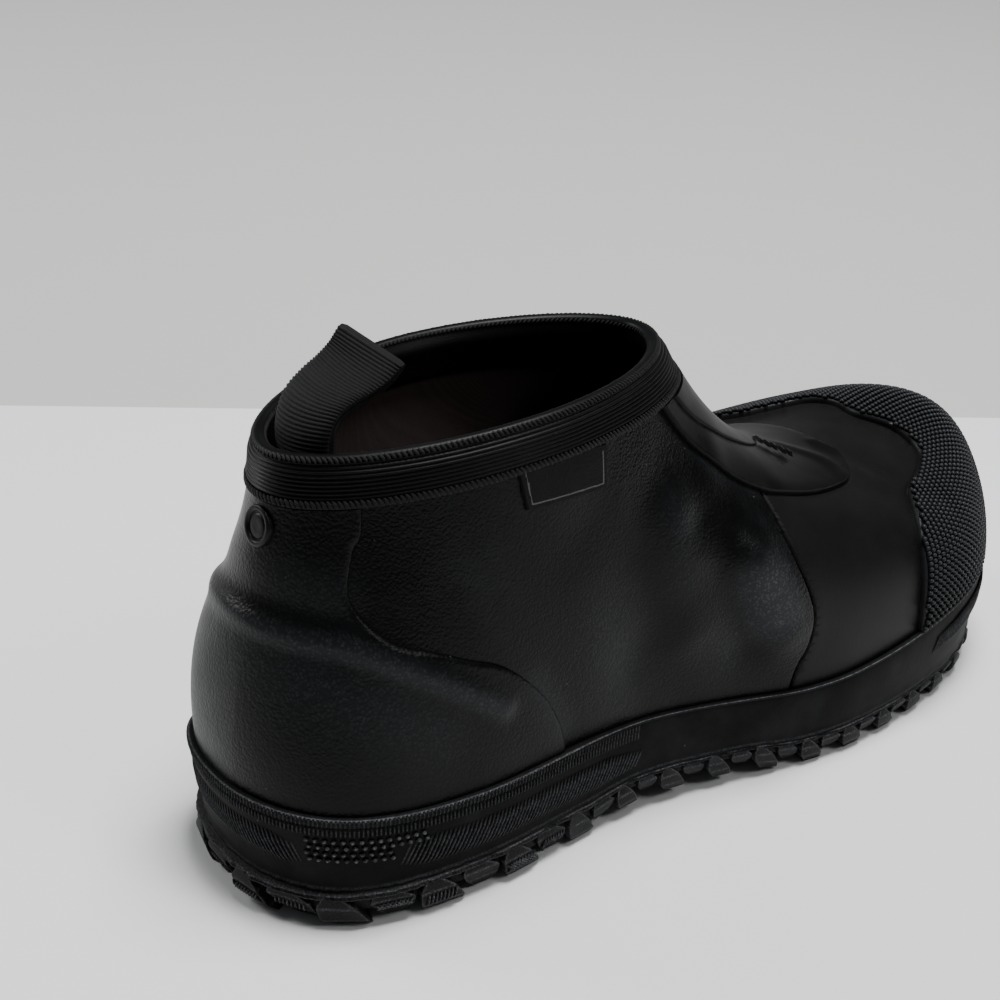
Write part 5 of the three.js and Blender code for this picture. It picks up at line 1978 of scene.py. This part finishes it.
    def bar_ring(self, y: float, sign: int, width: float, grow: float, height: Height) -> Array:
        """Gives the four corners of a bar at one height."""
        half = self.bar / 2 + grow
        x, root = sign * width, -sign * (1 + grow)
        corners = np.array([[root, y - half], [x, y + self.sweep - half],
                            [x, y + self.sweep + half], [root, y + half]])
        return np.concatenate([corners, height(corners[:, 1])[:, None]], -1)

    def add_stack(self, bm: bmesh.types.BMesh, rings: list[Array]) -> None:
        """Adds one closed stack of rings of four corners, with rounded edges, to the sole's mesh."""
        levels = [[bm.verts.new(p) for p in LAST.metres(ring)] for ring in rings]
        made = [bm.faces.new(levels[0][::-1]), bm.faces.new(levels[-1])]
        for lower, upper in zip(levels, levels[1:]):
            for i in range(4):
                j = (i + 1) % 4
                made.append(bm.faces.new((lower[i], lower[j], upper[j], upper[i])))
        bmesh.ops.recalc_face_normals(bm, faces=made)
        edges = list({edge for face in made for edge in face.edges})
        rounded_off = bmesh.ops.bevel(bm, geom=edges, offset=self.bevel * MM, segments=2, profile=0.6,
                                      affect="EDGES", clamp_overlap=True)
        # Rounded edges of each lug are painted pale: painted highlights along the lugs' edges, and scuffs
        wear_and_highlight = bm.verts.layers.float["wear_and_highlight"]
        strips = set(rounded_off["faces"])
        for vertex in rounded_off["verts"]:
            on_edge = all(face in strips for face in vertex.link_faces)
            vertex[wear_and_highlight] = self.edge_wear_and_highlight if on_edge else self.face_wear_and_highlight

    def build_lug_ribs(self, rib: Repeat, material: Material) -> None:
        """Makes the fine crossed or slanted ribs on the faces of the heel's lugs."""
        share = np.linspace(0.16, 0.84, 8)[:, None]
        spots = Spots()
        for lug in self.edge_lugs():
            if not lug.large or lug.number % 3 == 2:
                continue
            _, middle, high, _ = self.lug_rings(lug)
            a, b, c, d = middle[0], middle[1], high[1], high[0]
            across, up = (b + c - a - d) / 2, (c + d - a - b) / 2
            normal = units(np.cross(across, up))
            places = a + (b - a) * share + (d - a) * 0.55 + (c - b - d + a) * 0.5 * share + normal * 0.1
            for lean in ((-0.9, 0.9) if lug.number % 3 == 0 else (0.5,)):
                spots.add(places, normal, units(up) + lean * units(across))
        # The ribs' tops are painted pale: painted highlights on the lugs' fine ribs
        settle(rib.make("lug_ribs", spots, self.rib_size, material, wear_and_highlight=1.0), "outsole_rubber")


def main() -> None:
    """Builds the shoe's pieces in order, dresses them and sets the studio."""
    logging.basicConfig(level=logging.INFO, format="%(name)s %(message)s")
    groups = {group.name: group for group in (pebble_group(), dust_group(), knit_group())}
    finish = {spec.name: spec.build(groups) for spec in FINISHES}
    rib, bead, bump = (Repeat(kind) for kind in (Element.RIB, Element.BEAD, Element.BUMP))
    upper = Upper()
    upper.build(finish["quarter_rubber"], finish["vamp_rubber"], finish["seam_shadow"])
    upper.build_lining(finish["lining"])
    Insole().build(finish["lining"])
    outsole = Outsole()
    outsole.build(finish["outsole_rubber"])
    outsole.build_lug_ribs(rib, finish["outsole_rubber"])
    foxing = Foxing()
    foxing.build(finish["foxing_rubber"])
    foxing.build_pattern(rib, bump, finish["foxing_rubber"])
    guard = ToeGuard()
    guard.build(finish["guard_rubber"])
    guard.build_bumps(bump, finish["guard_rubber"])
    binding = Binding()
    HeelCounter().build(binding.low, finish["counter_rubber"])
    gusset = Gusset()
    gusset.build(binding.low, finish["gusset_rubber"])
    gusset.build_ribs(rib, finish["gusset_rubber"])
    binding.build(finish["binding_rubber"])
    binding.build_stitches(bead, finish["stitch_thread"])
    SideLabel().build(binding.low, finish["label_weave"], finish["label_thread"])
    HeelButton().build(binding.low, finish["button_rubber"])
    PullLoop().build(finish["webbing"])
    Studio().build()


if __name__ == "__main__":
    main()
